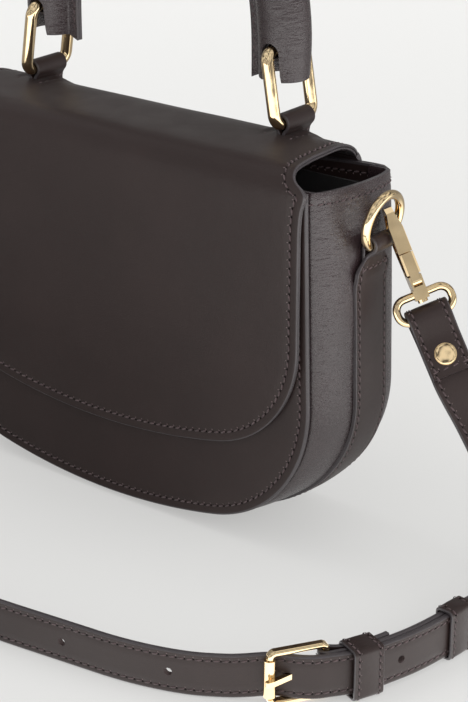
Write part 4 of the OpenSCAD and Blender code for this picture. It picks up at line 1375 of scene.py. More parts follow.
@dataclass
class Body:
    """Front and back panels, gusset, side strips, lining and pocket."""

    shape: BodyShape
    finishes: Finishes
    stitcher: Stitcher
    stitch_in: float = 4.25
    strip_w: float = 22.0
    strip_top: float = 131.0
    facing_t: float = 1.2
    facing_h: float = 9.0
    ring_x: float = 122.955
    ring_z: float = 138.0
    ring_bar: float = 1.9
    neck_half: float = 6.2
    seams: list[SeamLine] = field(default_factory=list)

    def panel(self, name: str, sign: int, high: float) -> None:
        """Makes a panel with its stitched, painted edge.

        Args:
            name: the node that it stands for.
            sign: -1 for the front, 1 for the back.
            high: height of its rim.
        """
        s = self.shape
        ear = s.rim + s.gusset_rise - high if sign > 0 else 0.0
        loop = [(x, z) for x, z, _, _ in s.outline(0.0, high + ear)]
        edge = loop[-1][0]

        def rim_z(x: float) -> float:
            """Height of the rim, which rises at its ends to meet the gusset."""
            return high + ear * smooth(clamp((abs(x) - 62.0) / 42.0))

        loop += [(x, rim_z(x)) for x in reversed(spread(-edge, edge, 3.0)[1:-1])]

        def place(x: float, z: float, h: float) -> Vector:
            """Puts a flat point on the panel, a little fuller in its middle."""
            full = 0.6 * max(0.0, 1 - (x / 105.0) ** 2) * max(0.0, 1 - ((z - 80.0) / 85.0) ** 2)
            return self.ease(Vector((x, sign * (s.face_y - s.panel_t + h + full), z)))

        piece = outline_sheet(f"{name}_leather", loop, place, s.panel_t, self.finishes.hide,
                              [Groove(self.stitch_in)], 9.0)
        finish_piece(piece, "root", "smooth_leather", name)
        inner = s.outline(self.stitch_in, high + ear - self.stitch_in)
        facing = Vector((0, sign, 0))
        ends = [inner[-1][0] + (inner[0][0] - inner[-1][0]) * i / 60 for i in range(61)]
        lip_y = sign * (s.face_y - s.panel_t - self.facing_t)
        self.seams += [
            flat_seam([place(x, z, s.panel_t - 0.2) for x, z, _, _ in inner], facing),
            flat_seam([place(x, rim_z(x) - self.stitch_in, s.panel_t - 0.2) for x in ends], facing),
            flat_seam([Vector((x, lip_y, rim_z(x) - self.stitch_in)) for x in ends if abs(x) < 102.0], -facing)]

        def inside(x: float, v: float, h: float) -> Vector:
            """Point of the facing inside the rim."""
            return Vector((x, sign * (s.face_y - s.panel_t - h), rim_z(x) - self.facing_h * (1 - v) - 0.02))

        band = grid_sheet(f"{name}_facing", spread(-102.4, 102.4, 4.0), [i / 6 for i in range(7)], inside,
                          self.facing_t, self.finishes.hide, None, 0.12)
        finish_piece(band, "root", "smooth_leather")

    def gusset_point(self, path: Sequence[Sequence[float]], u: float, a: float, h: float) -> Vector:
        """Point of the gusset.

        Args:
            path: the body's outline.
            u: step along the outline.
            a: degrees across, from the front.
            h: height over the inner face.

        Returns:
            The point.
        """
        s = self.shape
        p = path_at(path, u)
        n = hypot(p[2], p[3])
        nx, nz = p[2] / n, p[3] / n
        t = s.gusset_t - h
        y = -(s.web / 2 - t) * cos(radians(a))
        out = -s.gusset_inset + (s.swell(p[1], nx) - t) * sin(radians(a))
        if abs(nx) > 0.6:
            soft = noise.noise(Vector((p[0] * 0.02 + 3.0, y * 0.045, p[1] * 0.022)))
            out += soft * 0.9 * sin(radians(a)) ** 2 * min(1.0, (abs(nx) - 0.6) * 4)
        near = max(0.0, 1 - min(u, len(path) - 1 - u) / 10.0)
        tilt = (s.rim_rise - s.gusset_rise) * near * y / s.web
        return self.ease(Vector((p[0] + out * nx, y, p[1] + out * nz - tilt)))

    @staticmethod
    def ease(p: Vector) -> Vector:
        """Lowers a point near a back corner of the rim, which is rounded off."""
        e, g, k = clamp((abs(p.x) - 105.0) / 6.0), clamp((p.y - 23.0) / 6.0, 1.2), clamp((p.z - 150.0) / 9.0)
        return Vector((p.x, p.y, p.z - 4.2 * e * e * g * g * k))

    def gusset(self) -> None:
        """Makes the swelling gusset with its turned-in flanges and stitched rims."""
        s = self.shape
        path = s.outline(0.0, s.gusset_mid)
        last, turns, reach, seam_in = len(path) - 1, 28, s.flange - s.gusset_inset, 4.5
        fine = (0.35, 0.6, 1.0, 1.35)
        us = sorted({*spread(0.0, last, 1.0), *fine, *(last - d for d in fine)})
        angles = [180.0 * j / turns for j in range(turns + 1)]
        step_mm = (Vector(path[-1][:2]) - Vector(path[-2][:2])).length

        def section(u: float, h_out: float, h_in: float) -> list[Vector]:
            """Closed section of the gusset between two heights.

            Args:
                u: step along the outline.
                h_out: height of the outer face.
                h_in: height of the inner face.

            Returns:
                Its points.
            """
            p = path_at(path, u)
            outer, inner = ([self.gusset_point(path, u, a, h) for a in angles] for h in (h_out, h_in))
            away = Vector((-p[2] * reach, 0, -p[3] * reach))
            return outer + [outer[-1] + away, inner[-1] + away] + inner[::-1] + [inner[0] + away, outer[0] + away]

        points: list[Vector] = []
        for u in us:
            d = min(u, last - u) * step_mm
            groove = 0.28 * exp(-((d - seam_in) ** 2))
            pinch = 0.45 * max(0.0, 1 - d / 0.7)
            near = clamp((11.0 - d) / 2.5)
            points += section(u, s.gusset_t - groove - pinch, pinch - self.facing_t * smooth(near))
        n = len(points) // len(us)
        faces = tube_faces(len(us), n)
        zones = [Zone.FACE] * len(faces)
        far = 2 * turns + 3
        for base in (0, (len(us) - 1) * n):
            caps = [(j, j + 1, far - 1 - j, far - j) for j in range(turns)]
            caps += [(turns, turns + 1, turns + 2, turns + 3), (0, n - 1, n - 2, far)]
            faces += [tuple(base + i for i in cap) for cap in caps]
        zones += [Zone.EDGE] * (len(faces) - len(zones))
        piece = closed_piece("gusset_leather", points, faces, (self.finishes.crinkled, self.finishes.edge), zones, 60.0)
        finish_piece(piece, "root", "crinkle_leather", "gusset")
        for u in (seam_in / step_mm, last - seam_in / step_mm):
            low, high = ([self.gusset_point(path, u, j, s.gusset_t - h) for j in range(6, 175, 3)] for h in (1.1, 0.1))
            facings = ways(low, high)
            lip = [self.gusset_point(path, u, j, -self.facing_t) for j in range(12, 169, 3)]
            self.seams += [SeamLine(high, facings), SeamLine(lip, [-f for f in facings[2:-2]])]

    def strip(self) -> None:
        """Makes the long strip sewn over the gusset, whose necks fold over the side rings and tuck in behind it."""
        s, t = self.shape, self.shape.strip_t
        mid_r = self.ring_bar + 0.3 + t / 2
        half_line = []
        for x, z, nx, nz in s.outline(0.0, self.strip_top):
            near = clamp((z - 119.0) / 8.0) if abs(nx) > 0.9 else 0.0
            out = -s.gusset_inset + s.swell(z, nx) + 0.1 + t / 2 + (t + 0.1) * smooth(near)
            p = Vector((x + out * nx, max(t / 2, z + out * nz)))
            if p.x >= 0.0:
                half_line.append(p)
        turn = [Vector(p) for p in arc((self.ring_x, self.ring_z), mid_r, -34.0, 180.0, 26)]
        start, join = half_line[-1], turn[0]
        corners = (start, start + Vector((-0.05, 2.6)), join - Vector((0.56, 0.83)) * 1.6, join)
        right = half_line + [bezier(i / 8, corners) for i in range(1, 8)] + turn
        right += [Vector((self.ring_x - mid_r, self.ring_z - drop)) for drop in (3.0, 9.5)]
        whole = [Vector((-p.x, p.y)) for p in reversed(right)] + right
        whole = [p for i, p in enumerate(whole) if i == 0 or (p - whole[i - 1]).length > 0.05]
        wrap = Wrap([tuple(p) for p in whole], Vector((0, 0, 0)), X_AXIS, Z_AXIS, Y_AXIS, t, 1.0, 1.4)
        line, lengths = wrap.line, run_lengths(wrap.line)
        total = lengths[-1]
        shoulder = next(lengths[i] for i in range(len(line) // 2, len(line)) if line[i].y > self.strip_top - 1.5)
        from_end = total - shoulder

        def half(u: float) -> float:
            """Half width at a place along the strip.

            Args:
                u: step along the strip.

            Returns:
                The half width.
            """
            i = min(int(max(0.0, u)), len(line) - 2)
            d = lengths[i] + (lengths[i + 1] - lengths[i]) * (u - i)
            near = min(d, total - d) - from_end
            return self.neck_half + (self.strip_w / 2 - self.neck_half) * smooth(clamp(near / 7.0 + 0.35)) ** 0.8

        def place(u: float, v: float, h: float) -> Vector:
            """Point of the strip; v is a share of the half width.

            Args:
                u: step along the strip.
                v: share of the half width.
                h: height over the lower face.

            Returns:
                The point.
            """
            y = max(-1.0, min(1.0, v)) * half(u)
            p = wrap.place(u, y, h)
            i = min(int(max(0.0, u)), len(line) - 1)
            side = clamp(1 - (line[i].y - self.strip_top + 2.0) / 4.0)
            nx = max(-1.0, min(1.0, line[i].x / 100.0))
            dip = s.swell(p.z, nx) * (1 - sqrt(max(0.0, 1 - (2 * y / s.web) ** 2))) * side
            p = p - Vector((wrap.facing[i].x, 0, wrap.facing[i].y)) * dip
            return Vector((p.x, p.y, max(0.0, p.z)))

        def relief(u: float, v: float) -> float:
            """Stitch grooves along both edges."""
            return 0.28 * exp(-(((abs(v) - seam_v) / 0.06) ** 2))

        def seam(spots: Sequence[Point], sunk: float) -> None:
            """Adds a seam through places of the strip, a little sunk in its face."""
            low, high = ([place(u, v, t - sunk - k) for u, v in spots] for k in (1, 0))
            self.seams.append(SeamLine(high, ways(low, high)))

        seam_v = 0.79
        inner = (0.2, 0.5, 0.73, seam_v, 0.85, 0.93, 1)
        vs = (*(-v for v in reversed(inner)), *inner)
        piece = grid_sheet("gusset_strip_leather", [float(i) for i in range(len(line))], vs, place, t,
                           self.finishes.hide,
                           relief, 0.05)
        finish_piece(piece, "root", "smooth_leather", "gusset_strip", "side_loop_left", "side_loop_right")
        sewn = [float(i) for i in range(len(line)) if from_end + 2.4 < lengths[i] < total - from_end - 2.4]
        for v in (-seam_v, seam_v):
            seam([(u, v) for u in sewn[::2]], 0.15)
        for u in (sewn[0], sewn[-1]):
            seam([(u, -0.7 + 1.4 * k / 8) for k in range(9)], 0.05)

    def lining(self) -> None:
        """Makes the woven lining as one soft open sack, and the pocket on its back wall."""
        s = self.shape
        rings, thick = 14, 0.8
        path = s.outline(2.3, s.rim - 6.0)
        deep = (s.web - 2 * s.gusset_t) / 2 - 0.3

        def wall(thin: float) -> list[Vector]:
            """Points across the sack from the front wall over the gusset side to the back wall, row by row.

            Args:
                thin: how far the wall is drawn in.

            Returns:
                The points.
            """
            made = []
            for x, z, nx, nz in path:
                for j in range(rings + 1):
                    c, k = cos(radians(180.0 * j / rings)), sin(radians(180.0 * j / rings))
                    y = -(deep - thin) * copysign(abs(c) ** 0.35, c)
                    soft = 0.35 * noise.noise(Vector((x * 0.05, y * 0.06, z * 0.05 + 9)))
                    out = -thin + 1.0 * (k ** 0.6 - 1) + soft
                    made.append(Vector((x + out * nx, y, z + out * nz)))
            return made

        n, m = rings + 1, len(path)

        def skin(base: int) -> list[Face]:
            """Faces of one wall, with its flat front and back filled across.

            Args:
                base: number of its first corner.

            Returns:
                Its faces.
            """
            starts = [base + i * n + j for i in range(m - 1) for j in range(n - 1)]
            made = [(a, a + n, a + n + 1, a + 1) for a in starts]
            for j in (0, n - 1):
                loop = [base + i * n + j for i in range(m)]
                across = [tuple(dict.fromkeys((loop[i], loop[m - 1 - i], loop[m - 2 - i], loop[i + 1])))
                          for i in range(m // 2)]
                made += [tuple(reversed(face)) for face in across] if j else across
            return made

        rim = list(range(n)) + [(m - 1) * n + j for j in range(n - 1, -1, -1)]
        faces = skin(0) + [tuple(reversed(face)) for face in skin(n * m)] + band_faces(rim, [i + n * m for i in rim])
        piece = closed_piece("lining_cloth", wall(0.0) + wall(thick), faces, (self.finishes.cloth,), None, 60.0)
        finish_piece(piece, "root", "lining_cloth", "lining")
        corners = [(-60.0, 62.0), (60.0, 62.0), (60.0, 140.0), (-60.0, 140.0)]
        loop = [(x + (x1 - x) * k / 12, z + (z1 - z) * k / 12)
                for (x, z), (x1, z1) in zip(corners, corners[1:] + corners[:1]) for k in range(12)]

        def pocket(x: float, z: float, h: float) -> Vector:
            """Puts a point of the pocket against the back wall, a little open at its top."""
            gape = 1.2 * max(0.0, (z - 120.0) / 20.0) ** 2 * max(0.0, 1 - (x / 60.0) ** 2)
            return Vector((x, deep - thick - h - gape, z))

        flat = outline_sheet("pocket_cloth", loop, pocket, thick, (self.finishes.cloth,) * 2,
                             [Groove(3.0, 0.15, 0.8)], 10.0)
        finish_piece(flat, "root", "lining_cloth", "inner_pocket")

    def build(self) -> None:
        """Builds the body."""
        self.panel("front_panel", -1, self.shape.rim + self.shape.rim_rise)
        self.panel("back_panel", 1, self.shape.rim)
        self.gusset()
        self.strip()
        self.lining()
        finish_piece(self.stitcher.lay("body_stitches", self.seams), "root", "smooth_leather")


# ---------------------------------------------------------------- flap


@dataclass
class Flap:
    """The saddle flap, its lining, its back piece and the two tabs' slots."""

    shape: BodyShape
    finishes: Finishes
    stitcher: Stitcher
    width: float = 214.0
    low: float = 38.2
    corner: float = 52.0
    top: float = 168.6
    skin: float = 1.25
    back: float = 1.15
    bend_r: float = 7.6
    back_r: float = 30.6
    back_y: float = 6.0
    tail_h: float = 30.0
    gap: float = 0.6
    tab_x: float = 69.3
    tab_y: float = 15.5
    tab_w: float = 18.5
    sides: tuple[Point, ...] = ((-40.0, 107.0), (-22.0, 107.0), (-12.0, 107.2), (-5.0, 108.0), (-1.0, 109.3),
                                (2.0, 109.4), (4.0, 107.1), (5.8, 104.0), (7.4, 102.3), (9.5, 101.1), (13.0, 99.9),
                                (20.0, 98.2), (28.0, 97.1), (37.0, 96.8), (47.0, 96.3), (60.0, 94.6))
    seam_in: float = 4.1

    def __post_init__(self) -> None:
        """Works out the profile's lengths."""
        s = self.shape
        self.t = self.skin + self.back
        self.flap_in = s.face_y + self.gap
        self.bend_y = -self.flap_in + self.bend_r
        self.bend_z = self.top - self.bend_r
        self.mid = self.back_r + self.t / 2
        self.hinge_y = s.face_y + self.t / 2
        self.end = asin((self.hinge_y - self.back_y) / self.mid)
        self.slope_z = self.top - self.back_r
        self.hinge_z = self.slope_z + self.mid * cos(self.end)
        self.front = self.bend_z - self.low
        self.bend = (self.bend_r + self.t / 2) * pi / 2
        self.flat = self.back_y - self.bend_y
        self.slope = self.mid * self.end
        self.total = self.front + self.bend + self.flat + self.slope

    def at(self, s: float, h: float) -> tuple[float, float, float]:
        """Profile of the flap.

        Args:
            s: run from its lower edge.
            h: height over its underside.

        Returns:
            Y, Z and the angle of its face.
        """
        if s < self.front:
            return -self.flap_in - h, self.low + s, 0.0
        s -= self.front
        if s < self.bend:
            a = s / self.bend * pi / 2
            return self.bend_y - (self.bend_r + h) * cos(a), self.bend_z + (self.bend_r + h) * sin(a), a
        s -= self.bend
        if s < self.flat:
            return self.bend_y + s, self.top + h, pi / 2
        a = (s - self.flat) / self.mid
        return self.back_y + (self.back_r + h) * sin(a), self.slope_z + (self.back_r + h) * cos(a), pi / 2 + a

    def edge_half(self, s: float) -> float:
        """Half width of the flap above its rounded lower edge, a smooth curve through the sides' knots.

        Args:
            s: run from the lower edge.

        Returns:
            The half width.
        """
        knots = (*self.sides, (self.total - self.front, 91.5))
        d = s - self.front
        if d <= knots[0][0]:
            return knots[0][1]
        for k in range(len(knots) - 1):
            (a, fa), (b, fb) = knots[k], knots[k + 1]
            if d <= b:
                before = knots[max(0, k - 1)]
                after = knots[min(len(knots) - 1, k + 2)]
                ma = (fb - before[1]) / (b - before[0])
                mb = (after[1] - fa) / (after[0] - a)
                x = (d - a) / (b - a)
                w = b - a
                return ((2 * x ** 3 - 3 * x * x + 1) * fa + (x ** 3 - 2 * x * x + x) * w * ma
                        + (-2 * x ** 3 + 3 * x * x) * fb + (x ** 3 - x * x) * w * mb)
        return knots[-1][1]

    def outline(self, stop: float) -> list[Point]:
        """Flat outline of the flap, anticlockwise, up to a run.

        Args:
            stop: run at which it ends.

        Returns:
            Its corners.
        """
        s = self.shape
        half = s.half(self.width / 2, self.corner, s.bottom, self.low, self.low + 75.0, 0.0, (14, 26, 4))
        right = [(x, z - self.low) for x, z, _, _ in half]
        start = right[-1][1]
        run = [start + 8.0 + 4.0 * i for i in range(int((self.front - 30 - start) / 4))]
        run = [v for v in run if v < self.front - 26]
        run += spread(self.front - 25, self.front + 24, 1.4) + spread(self.front + 26, stop, 3.0)
        right += [(self.edge_half(v), v) for v in run if v > start + 2]
        across = spread(-right[-1][0], right[-1][0], 6.0)[1:-1]
        return right + [(x, stop) for x in reversed(across)] + [(-x, v) for x, v in reversed(right[1:])]

    def dent(self, x: float, s: float) -> float:
        """Pucker of the leather beside each tab's foot.

        Args:
            x: place across.
            s: run from the lower edge.

        Returns:
            Depth taken off the upper face.
        """
        y, _, _ = self.at(s, 0.0)
        total = 0.0
        if s > self.front + self.bend * 0.5:
            for side in (-1, 1):
                dx, dy = side * x - self.tab_x, y - self.tab_y
                ring = exp(-((abs(dx) - 6.6) / 1.1) ** 2 - (dy / 10.5) ** 4)
                total += 0.55 * ring - 0.5 * exp(-((abs(dx) - 8.9) / 1.3) ** 2 - (dy / 10.0) ** 4)
                rough = noise.noise(Vector((x * 0.6, y * 0.42, 4.0)))
                total -= 0.34 * rough * exp(-(dx / 10.0) ** 2 - (dy / 12.0) ** 4)
        return total

    def lift(self, x: float, s: float) -> float:
        """How far the tabs pull the flap up around them.

        Args:
            x: place across.
            s: run from the lower edge.

        Returns:
            The rise.
        """
        if s < self.front + self.bend:
            return 0.0
        y, z, _ = self.at(s, self.t)
        k = clamp((y - 2.0) / 6.0) * clamp((26.5 - y) / 4.0)
        best = 0.0
        for side in (-1, 1):
            dx = max(0.0, abs(x - side * self.tab_x) - 4.4)
            best = max(best, exp(-(dx / 4.2) ** 2))
        return min(1.9, max(0.0, 170.7 - z)) * best * k

    def place(self, x: float, s: float, h: float) -> Vector:
        """Puts a flat point of the flap on its profile, with a soft fullness over the front.

        Args:
            x: place across.
            s: run from the lower edge.
            h: height over the underside.

        Returns:
            The point.
        """
        y, z, a = self.at(s, h)
        full = 0.0
        if s < self.front:
            full = 0.9 * max(0.0, 1 - (x / 104.0) ** 2) * max(0.0, sin(pi * min(1.0, s / self.front))) ** 0.8
        lift = 0.25 * noise.noise(Vector((x * 0.03, s * 0.03, 1.7)))
        out = full + lift * min(1.0, s / 30.0) + self.lift(x, s)
        return Vector((x, y - out * cos(a), z + out * sin(a)))

    def run_at(self, y: float) -> float:
        """Run from the lower edge to a place on the top or the slope behind it."""
        past = y - self.back_y
        return self.front + self.bend + self.flat + (past if past < 0 else self.mid * asin(past / self.mid))

    def slot(self, side: int) -> list[Point]:
        """Outline of a tab's slot in flat coordinates.

        Args:
            side: -1 for the left, 1 for the right.

        Returns:
            Its corners.
        """
        s0, s1 = (self.run_at(self.tab_y + k * (self.tab_w / 2 + 0.2)) for k in (-1, 1))
        x0, x1 = side * self.tab_x - 1.6, side * self.tab_x + 1.6
        right = [(x1, s0 + (s1 - s0) * i / 6) for i in range(7)]
        return right + [(x0, y) for _, y in reversed(right)]

    def seam(self, spots: Sequence[tuple[float, float, float]], flip: int = 1) -> SeamLine:
        """A seam through places of the flap: across, along and over its underside; flip is -1 on the underside."""
        low, high = ([self.place(x, s, h + k) for x, s, h in spots] for k in (0, 1))
        return SeamLine(low, [way * flip for way in ways(low, high)])

    def round_ring(self, loop: Sequence[Point], high: float) -> list[Point]:
        """The sewn part of a loop below a height, from its upper left end round to its upper right end.

        Args:
            loop: outline of the piece.
            high: height of its unsewn edge.

        Returns:
            Places of the seam.
        """
        ring = [(x, z) for x, z in inset_loop(loop, self.seam_in) if z < high - 1.0]
        start = max(range(len(ring)), key=lambda i: ring[i][1] if ring[i][0] < 0 else -1)
        return ring[start:] + ring[:start]

    def build(self) -> None:
        """Builds the flap's two layers, its rear bend, its back piece and its stitches."""
        f = self.finishes
        stop = self.total - 5.0
        loop = self.outline(stop)
        slots = [self.slot(-1), self.slot(1)]
        outer = outline_sheet("flap_leather", loop, lambda x, s, h: self.place(x, s, self.back + h), self.skin, f.hide,
                              [Groove(self.seam_in)], 5.0, slots, self.dent)
        finish_piece(outer, "flap", "smooth_leather", "flap_outer")
        inner = outline_sheet("flap_lining_leather", inset_loop(loop, 0.12),
                              lambda x, s, h: self.place(x, s, self.back - h), self.back, f.hide,
                              [Groove(4.0, 0.2)], 8.0, slots)
        finish_piece(inner, "flap", "smooth_leather", "flap_lining")
        ring = self.round_ring(loop, stop)
        seams = [self.seam([(x, s, self.t - 0.18) for x, s in ring]), self.seam([(x, s, 0.1) for x, s in ring], -1)]
        runs = [self.run_at(y) for y in spread(self.tab_y - 11.0, self.tab_y + 11.0, 2.0)]
        for x in (side * (self.tab_x + off) for side in (-1, 1) for off in (-6.6, 6.6)):
            seams.append(self.seam([(x, s, self.t - self.dent(x, s) - 0.05) for s in runs]))
        finish_piece(self.stitcher.lay("flap_stitches", seams), "flap", "smooth_leather")
        self.rear(stop)

    def rear(self, stop: float) -> None:
        """Makes the leather that turns over the hinge, and the sewn-down back piece.

        Args:
            stop: run at which the flap's own sheet ends.
        """
        f = self.finishes
        half = self.edge_half(stop)
        y0, z0, a0 = self.at(stop, self.t / 2)
        high = self.hinge_z - 7.0
        p0, p3 = Vector((y0, z0)), Vector((self.hinge_y, high))
        p1 = p0 + Vector((cos(a0 - pi / 2), -sin(a0 - pi / 2))) * 4.0
        p2 = p3 + Vector((0.0, 4.0))

        def place(share: float, x: float, h: float) -> Vector:
            """Puts a point on the bend, from its share of the way, its place across and its height.

            Args:
                share: share of the bend.
                x: place across.
                h: height over the inner face.

            Returns:
                The point.
            """
            k = clamp(share)
            q = ((p1 - p0) * (1 - k) ** 2 + (p2 - p1) * 2 * k * (1 - k) + (p3 - p2) * k * k).normalized()
            p = bezier(k, (p0, p1, p2, p3)) + Vector((-q.y, q.x)) * (h - self.t / 2)
            return Vector((x, p.x, p.y))

        bend = grid_sheet("rear_bend_leather", [i / 12 for i in range(13)],
                          spread(-half, half, 8.0, (-half + self.seam_in, half - self.seam_in)), place, self.t,
                          f.hide, None, 0.02, (False, True))
        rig.blend(bend, "root", "flap", start=(0.0, self.hinge_y * MM, (self.hinge_z - 3.0) * MM),
                 end=(0.0, (self.hinge_y - 2.0) * MM, (self.hinge_z + 2.5) * MM))
        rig.slot(bend, "smooth_leather")
        low, r = self.hinge_z - self.t / 2 - 0.3 - self.tail_h, 8.0
        rise = high - low - r
        loop = arc((half - r, low + r), r, -90, 0, 8) + [(half, low + r + rise * i / 6) for i in range(1, 7)]
        loop += [(x, high) for x in reversed(spread(-half, half, 6.0)[1:-1])]
        loop += [(-half, high - rise * i / 6) for i in range(6)] + arc((-half + r, low + r), r, 180, 270, 8)
        loop += [(x, low) for x in spread(-half + r, half - r, 6.0)[1:-1]]
        face_y = self.shape.face_y
        tail = outline_sheet("flap_tail_leather", loop, lambda x, z, h: Vector((x, face_y + h, z)), self.t, f.hide,
                             [Groove(self.seam_in)], 6.0)
        finish_piece(tail, "root", "smooth_leather", "flap_tail")
        line = [Vector((x, face_y + self.t - 0.15, z)) for x, z in self.round_ring(loop, high)]
        finish_piece(self.stitcher.lay("tail_stitches", [flat_seam(line, Y_AXIS)]), "root", "smooth_leather")


# ---------------------------------------------------------------- straps


@dataclass
class Straps:
    """The two lengths of the shoulder strap with their keepers, as they lie."""

    finishes: Finishes
    stitcher: Stitcher
    width: float = 18.0
    t: float = 2.4
    buckle_at: tuple[float, float] = (168.0, -112.8)
    buckle_turn: float = 57.0
    bar_x: float = 11.0
    rest_z: float = 11.45
    keeper_z: float = 10.75
    strap_z: float = 11.8
    fold_t: float = 1.6
    pair_gap: float = 2.7
    front_ply: float = 25.2
    prong_r: float = 1.1
    holes: tuple = ((36.5, -152, 9.2), (81.7, -146, 9.2), (126.8, -137.6, 9.2), (191.3, -79.9, 10.8))
    headings: tuple = (6, 7, 21, 73)
    pair: tuple = ((197, -27, 11), (195.2, -38, 10.7), (193.9, -48.8, 10.7), (192.1, -62.5, 10.7), (190, -73.5, 10.8),
                   (187.2, -82.8, 10.9))
    down: tuple = ((168, 9, 68), (182, 7, 49), (194, 3, 33), (201, -4, 20), (200.5, -15, 13.5))
    down_across: tuple = ((0.62, 0.75, 0.2), (0.72, 0.62, 0), (0.8, 0.4, -0.3), (0.7, 0.1, -0.7), (0.3, 0, -0.95))
    left: tuple = ((-168, 10, 68), (-184, 13, 50), (-199, 20, 33), (-212, 26, 19), (-220, 20, 12))
    front: tuple = ((-222, 0, 9.4), (-220, -30, 9.2), (-210, -65, 9.2), (-186, -102, 9.2), (-150, -130, 9.2),
                    (-105, -147, 9.2), (-55, -154, 9.2), (0, -155, 9.2), (52, -150, 9.2), (82, -146, 9.2),
                    (110, -142.5, 9.2), (132.5, -135.5, 9.2), (145, -128.2, 9.3), (151, -124.5, 9.8))

    def buckle(self, x: float, y: float, z: float | None = None) -> list[float]:
        """A point given along and across the buckle.

        Args:
            x: place along the buckle.
            y: place across it.
            z: height, or None for the strap's.

        Returns:
            X, Y and Z.
        """
        a = radians(self.buckle_turn)
        return [self.buckle_at[0] + x * cos(a) - y * sin(a), self.buckle_at[1] + x * sin(a) + y * cos(a),
                self.strap_z if z is None else z]

    def fold_rows(self) -> list[list[float]]:
        """Rows of the folded strap end on the right hook: down one ply, round the eye's bar and up the other.

        Returns:
            The rows.
        """
        hook = Hook()
        ply, fold, reach = self.t / 2 + 0.05, 1.65 + 1 + self.t / 2, 30.0
        plies = ((1, 1), (0.75, 1), (0.42, 1), (0.32, 1), (0.2, 1.7))
        spots = [(self.front_ply, ply)] + [(reach * u, ply * v) for u, v in plies[1:]]
        spots += [(-fold * sin(radians(a)), fold * cos(radians(a))) for a in range(0, 181, 30)]
        spots += [(reach * u, -ply * v) for u, v in reversed(plies)]
        return [self.row(hook.fold_point(u, v), hook.turned(X_AXIS)) for u, v in spots]

    def row(self, p: Sequence[float], across: Sequence[float] = (0, 0, -1), t: float | None = None,
            half: float | None = None) -> list[float]:
        """One row of a strap."""
        return [*p, *across, self.t if t is None else t, self.width / 2 if half is None else half]

    def short_rows(self) -> list[list[float]]:
        """Rows of the short strap, from the right hook to the buckle and back.

        Returns:
            The rows.
        """
        slip, low, bar, t = self.keeper_z + 0.3, self.keeper_z, self.bar_x, self.fold_t
        rows = self.fold_rows()
        rows += [self.row(p, w) for p, w in zip(self.down, self.down_across)] + [self.row(p) for p in self.pair]
        rows += [self.row(self.buckle(bar + 14, -2.2, low)), self.row(self.buckle(bar + 6, -2.2, slip), t=t)]
        fold = 1.5 + 0.3 + t / 2
        rows += [self.row(self.buckle(bar - fold * sin(radians(a)), -fold * cos(radians(a))), t=t,
                          half=self.width * 0.465)
                 for a in range(0, 181, 36)]
        rows += [self.row(self.buckle(bar + 6, 0.4, slip), t=t), self.row(self.buckle(bar + 14, 0.7, low))]
        return rows + [self.row((184.3, -82, low)), self.row((184.9, -79.4, low))]

    def long_rows(self) -> list[list[float]]:
        """Rows of the long strap, from the left hook through the buckle to its pointed end.

        Returns:
            The rows.
        """
        slip, rest, bar = self.keeper_z + 0.3, self.rest_z, self.bar_x
        rows = [[-q[0], q[1], q[2], -q[3], *q[4:]] for q in self.fold_rows()]
        rows += [self.row(p, (-w[0], w[1], w[2])) for p, w in zip(self.left, self.down_across)]
        rows += [self.row(p) for p in self.front]
        through = ((-bar, 4.4, slip), (-6.5, 2.3, rest), (-2, -1.2, rest), (3, -3.6, rest), (7, -4.7, rest),
                   (bar, -4.9, rest), (bar + 6, -4.9, slip), (bar + 14, -5, self.keeper_z))
        rows += [self.row(self.buckle(*q)) for q in through]
        rows += [self.row((x + self.pair_gap, y, z)) for x, y, z in reversed(self.pair[1:])]
        x, y, z = self.pair[0]
        x += 1.6 * self.pair_gap
        return rows + [self.row((x, y, z)), self.row((x + 1.6, y + 4.5, z), half=self.width / 3),
                       self.row((x + 3, y + 9, z), half=self.width / 12)]

    def cutters(self, word: str) -> list[Object]:
        """Shapes of the holes and of the prong's ways.

        Args:
            word: short or long.

        Returns:
            Objects that are cut out of that strap.
        """
        mats = self.finishes.cut_hide
        a = radians(self.buckle_turn)
        frame = (Vector((*self.buckle_at, self.strap_z)), Vector((cos(a), sin(a), 0)), Vector((-sin(a), cos(a), 0)),
                 Z_AXIS)
        gap = self.prong_r + 0.35
        if word == "short":
            x0, x1, y1 = self.bar_x - 5.2, self.bar_x + 3.6, 5.4
            way = [(x0, -y1), (x1, -y1), (x1, y1), (x0, y1)]
            return [prism("way", way, *frame, -gap, gap, mats, Zone.EDGE)]
        way = [(-15.0, -6.0), (-5.6, -1.9), (3.2, -1.0), (9.0, -0.5), (9.0, 2.2), (3.0, 1.9), (-3.6, 0.5),
               (-15.0, -2.4)]
        made = [prism("way", way, *frame, -gap, gap, mats, Zone.RAW)]
        for place, heading in zip(self.holes, self.headings):
            h = radians(heading)
            made.append(prism("hole", arc((0, 0), 1.6, 0, 345, 23), Vector(place), Vector((cos(h), sin(h), 0)), Z_AXIS,
                              Vector((-sin(h), cos(h), 0)), -3.0, 3.0, mats, Zone.RAW))
        return made

